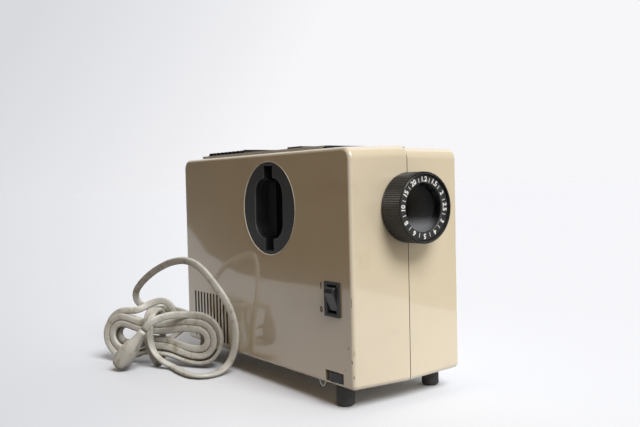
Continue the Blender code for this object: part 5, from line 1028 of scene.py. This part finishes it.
def port_mesh(name, side):
    """The port's face with its rounded lip, the stepped finger recess and the slot of the slide carrier."""
    bm = bmesh.new()
    inner = mouth_outline(RECESS_STEP)
    starts = []
    for walls in port_walls(inner):
        loops = [[port_point(bm, side, point, depth) for point in outline] for outline, depth in walls]
        for near, far in zip(loops, loops[1:]):
            for k in range(len(near)):
                bm.faces.new((near[k], near[k - 1], far[k - 1], far[k]))
        starts += [bm.edges.get((loops[0][k], loops[0][k - 1])) for k in range(len(loops[0]))]
    bmesh.ops.triangle_fill(bm, edges=starts, use_beauty=True, normal=(side, 0, 0))
    half = len(inner) // 2
    for part in (inner[1:half - 1], inner[half + 1:-1]):
        bm.faces.new([port_point(bm, side, point, RECESS_DEPTH) for point in part])
    slot_y, slot_z = SLOT_HALF
    corners = [(slot_y, slot_z), (slot_y, -slot_z), (-slot_y, -slot_z), (-slot_y, slot_z)]
    for k in range(4):
        wall = (
            (corners[k], RECESS_DEPTH), (corners[k - 1], RECESS_DEPTH), (corners[k - 1], PORT_DEPTH),
            (corners[k], PORT_DEPTH),
        )
        bm.faces.new([port_point(bm, side, point, depth) for point, depth in wall])
    bmesh.ops.remove_doubles(bm, verts=bm.verts, dist=DOUBLES_REACH)
    bmesh.ops.dissolve_degenerate(bm, edges=bm.edges, dist=TINY_EDGE)
    bmesh.ops.recalc_face_normals(bm, faces=bm.faces)
    mesh = bpy.data.meshes.new(name)
    bm.to_mesh(mesh)
    bm.free()
    mesh.shade_smooth()
    return mesh


def add_port(word, side):
    port = link(f"port_{word}", port_mesh(f"port_{word}", side))
    port.data.materials.append(PORT_BLACK)
    sharp = port.modifiers.new("sharp", "EDGE_SPLIT")
    sharp.split_angle = SHARP_FROM
    even = port.modifiers.new("even", "WEIGHTED_NORMAL")
    even.weight = EVEN_WEIGHT
    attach(port, "casing")
    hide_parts(f"slide_port_{word}")


def add_port_rim(word, side):
    """The edge of the casing's round hole, a little proud of the port's face, pale as a painted highlight.
    """
    profile = [
        (PORT_RADIUS + RIM_LAP, -RIM_PROUD), (PORT_RADIUS - RIM_WIDTH, RIM_DEPTH),
        (PORT_RADIUS, RIM_BACK_DEPTH),
    ]
    rim = lathe(f"port_rim_{word}", profile, PORT_STEPS, RIM_HIGHLIGHT, capped=False)
    rim.data.transform(
        Matrix.Translation((side * SIDE_X, PORT_Y, OPTICAL_Z)) @ Matrix.Rotation(-side * pi / 2, 4, "Y"))
    rim.data.shade_flat()
    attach(rim, "casing")


# Backdrop: its tones, the way to its dimmer part, and the floor, which holds to them ahead of the camera
LEFT_WAY = Vector((sin(radians(-40.0)), cos(radians(-40.0)), 0.6)).normalized()
DIM_FROM = (0.30, 0.585)
PALE = (0.930, 0.922, 0.947)
DIM = (0.686, 0.701, 0.730)
FLOOR_TINT = (0.775, 0.815, 0.85)
FLOOR_SIZE = 60.0
FLOOR_RAMP = 0.35

# Fill light: its tones on the dark side of the room, at eye level and above, and the floor's bounce
DARK_FILL = (0.190, 0.110, 0.040)
LEVEL_FILL = (1.34, 1.28, 1.20)
SKY_FILL = (0.65, 0.65, 0.67)
DARK_BOUNCE = (0.10, 0.095, 0.09)
PALE_BOUNCE = (0.50, 0.49, 0.47)
FILL_SIDES = (-0.45, 0.15)
FILL_HEIGHTS = (-0.1, 0.9)
BOUNCE_SIDES = (-0.15, 0.10)

# Key light
KEY_STRENGTH = 3.05
KEY_SPREAD = radians(30.0)
KEY_TONE = (1.0, 0.985, 0.965)
KEY_WAY = (0.04, 0.66, -0.75)

# Sides of the room that only reflections see; the dark one's lower edge as places along y and heights
DARK_CARD_X = -0.42
DARK_CARD_TOP = 1.8
DARK_CARD_EDGE = (
    (0.12, 0.009), (0.343, 0.004), (0.522, 0.0), (0.629, 0.0), (0.672, 0.003), (0.701, 0.009),
    (0.747, 0.023), (0.792, 0.032), (0.829, 0.058), (0.874, 0.084), (1.9, 0.60),
)
DARK_CARD_TONES = ((0.17, 0.125, 0.065), (0.005, 0.004, 0.003))
FRONT_CARD_X = 0.32
FRONT_CARD_Y = (-0.15, -2.5)
FRONT_CARD_TOP = 2.0
FRONT_CARD_TONES = ((0.46, 0.46, 0.36), (0.46, 0.46, 0.36))
CARD_RAMP = (0.35, 0.85)
UNSEEN_BY = ("camera", "diffuse", "transmission", "shadow", "volume_scatter")


def backdrop_tone(tree, direction, held=1.0):
    """The pale backdrop, a little dimmer towards its left, as far as it is held to that."""
    dot = put(tree, "ShaderNodeVectorMath", operation="DOT_PRODUCT")
    tree.links.new(direction, dot.inputs[0])
    dot.inputs[1].default_value = LEFT_WAY
    share = maths(tree, "MULTIPLY", spread(tree, dot.outputs["Value"], *DIM_FROM, 0.0, 1.0), held)
    return mix_colours(tree, share, PALE, DIM)


def add_world():
    """The backdrop for the camera, reflections and glass, and the fill light for everything else."""
    world = bpy.data.worlds.new("studio")
    bpy.context.scene.world = world
    world.use_nodes = True
    tree = world.node_tree
    tree.nodes.clear()
    way = put(tree, "ShaderNodeTexCoord").outputs["Generated"]
    x, _, z = parts_of(tree, way)
    path = put(tree, "ShaderNodeLightPath")
    mirrored = maths(tree, "MAXIMUM", path.outputs["Is Glossy Ray"], path.outputs["Is Transmission Ray"])
    seen = maths(tree, "MAXIMUM", path.outputs["Is Camera Ray"], mirrored)
    open_side = mix_colours(tree, spread(tree, z, *FILL_HEIGHTS, 0.0, 1.0), LEVEL_FILL, SKY_FILL)
    fill = mix_colours(tree, spread(tree, x, *FILL_SIDES, 0.0, 1.0), DARK_FILL, open_side)
    mix = put(tree, "ShaderNodeMixShader")
    tree.links.new(seen, mix.inputs[0])
    for number, tone in ((1, fill), (2, backdrop_tone(tree, way))):
        light = put(tree, "ShaderNodeBackground")
        tree.links.new(tone, light.inputs["Color"])
        tree.links.new(light.outputs[0], mix.inputs[number])
    output = put(tree, "ShaderNodeOutputWorld")
    tree.links.new(mix.outputs[0], output.inputs["Surface"])


def add_floor():
    """The floor in the backdrop's tone, darker in what it throws back on the dark side."""
    corners = [(x * FLOOR_SIZE, y * FLOOR_SIZE, 0) for x, y in ((-1, -1), (1, -1), (1, 1), (-1, 1))]
    floor = link("floor", as_mesh("floor", corners, [(0, 1, 2, 3)]))
    material, tree, shader = new_material("sweep")
    place = put(tree, "ShaderNodeNewGeometry").outputs["Position"]
    away = put(tree, "ShaderNodeVectorMath", operation="SUBTRACT")
    tree.links.new(place, away.inputs[0])
    away.inputs[1].default_value = (CAMERA_PLACE[0], CAMERA_PLACE[1], 0)
    unit = put(tree, "ShaderNodeVectorMath", operation="NORMALIZE")
    tree.links.new(away.outputs["Vector"], unit.inputs[0])
    x, y, _ = parts_of(tree, place)
    ahead = spread(tree, y, CAMERA_PLACE[1], CAMERA_PLACE[1] + FLOOR_RAMP, 0.0, 1.0)
    lower = put(tree, "ShaderNodeVectorMath", operation="MULTIPLY")
    tree.links.new(backdrop_tone(tree, unit.outputs["Vector"], ahead), lower.inputs[0])
    lower.inputs[1].default_value = FLOOR_TINT
    path = put(tree, "ShaderNodeLightPath")
    thrown = mix_colours(tree, spread(tree, x, *BOUNCE_SIDES, 0.0, 1.0), DARK_BOUNCE, PALE_BOUNCE)
    tone = mix_colours(tree, path.outputs["Is Diffuse Ray"], lower.outputs["Vector"], thrown)
    set_tone(tree, shader, tone)
    shader.inputs["Roughness"].default_value = 0.9
    shader.inputs["Specular IOR Level"].default_value = 0.0
    floor.data.materials.append(material)


def add_key():
    key = bpy.data.lights.new("key", "SUN")
    key.energy = KEY_STRENGTH
    key.angle = KEY_SPREAD
    key.color = KEY_TONE
    lamp = link("key", key)
    lamp.matrix_world = Vector(KEY_WAY).to_track_quat("-Z", "Y").to_matrix().to_4x4()


def add_room_side(name, outline, tones):
    """A side of the room that only reflections see, from its near tone to its far one."""
    card = link(name, as_mesh(name, outline, [tuple(range(len(outline)))]))
    material, tree, shader = new_material(name)
    y = parts_of(tree, put(tree, "ShaderNodeNewGeometry").outputs["Position"])[1]
    set_tone(tree, shader, mix_colours(tree, spread(tree, y, *CARD_RAMP, 0.0, 1.0), *tones))
    shader.inputs["Roughness"].default_value = 1.0
    card.data.materials.append(material)
    for use in UNSEEN_BY:
        setattr(card, f"visible_{use}", False)


def add_room():
    near, far = DARK_CARD_EDGE[0][0], DARK_CARD_EDGE[-1][0]
    edge = (*DARK_CARD_EDGE, (far, DARK_CARD_TOP), (near, DARK_CARD_TOP))
    add_room_side("dark_side_of_the_room", [(DARK_CARD_X, y, z) for y, z in edge], DARK_CARD_TONES)
    near, far = FRONT_CARD_Y
    edge = ((near, 0), (far, 0), (far, FRONT_CARD_TOP), (near, FRONT_CARD_TOP))
    add_room_side("dim_front_of_the_room", [(FRONT_CARD_X, y, z) for y, z in edge], FRONT_CARD_TONES)


add_camera()
add_cord()
dress_nodes()
add_ring_marks()
add_switch_marks()
for side, word in ((-1, "left"), (1, "right")):
    add_port(word, side)
    add_port_rim(word, side)
add_world()
add_floor()
add_key()
add_room()
bpy.context.scene.view_settings.view_transform = "Standard"
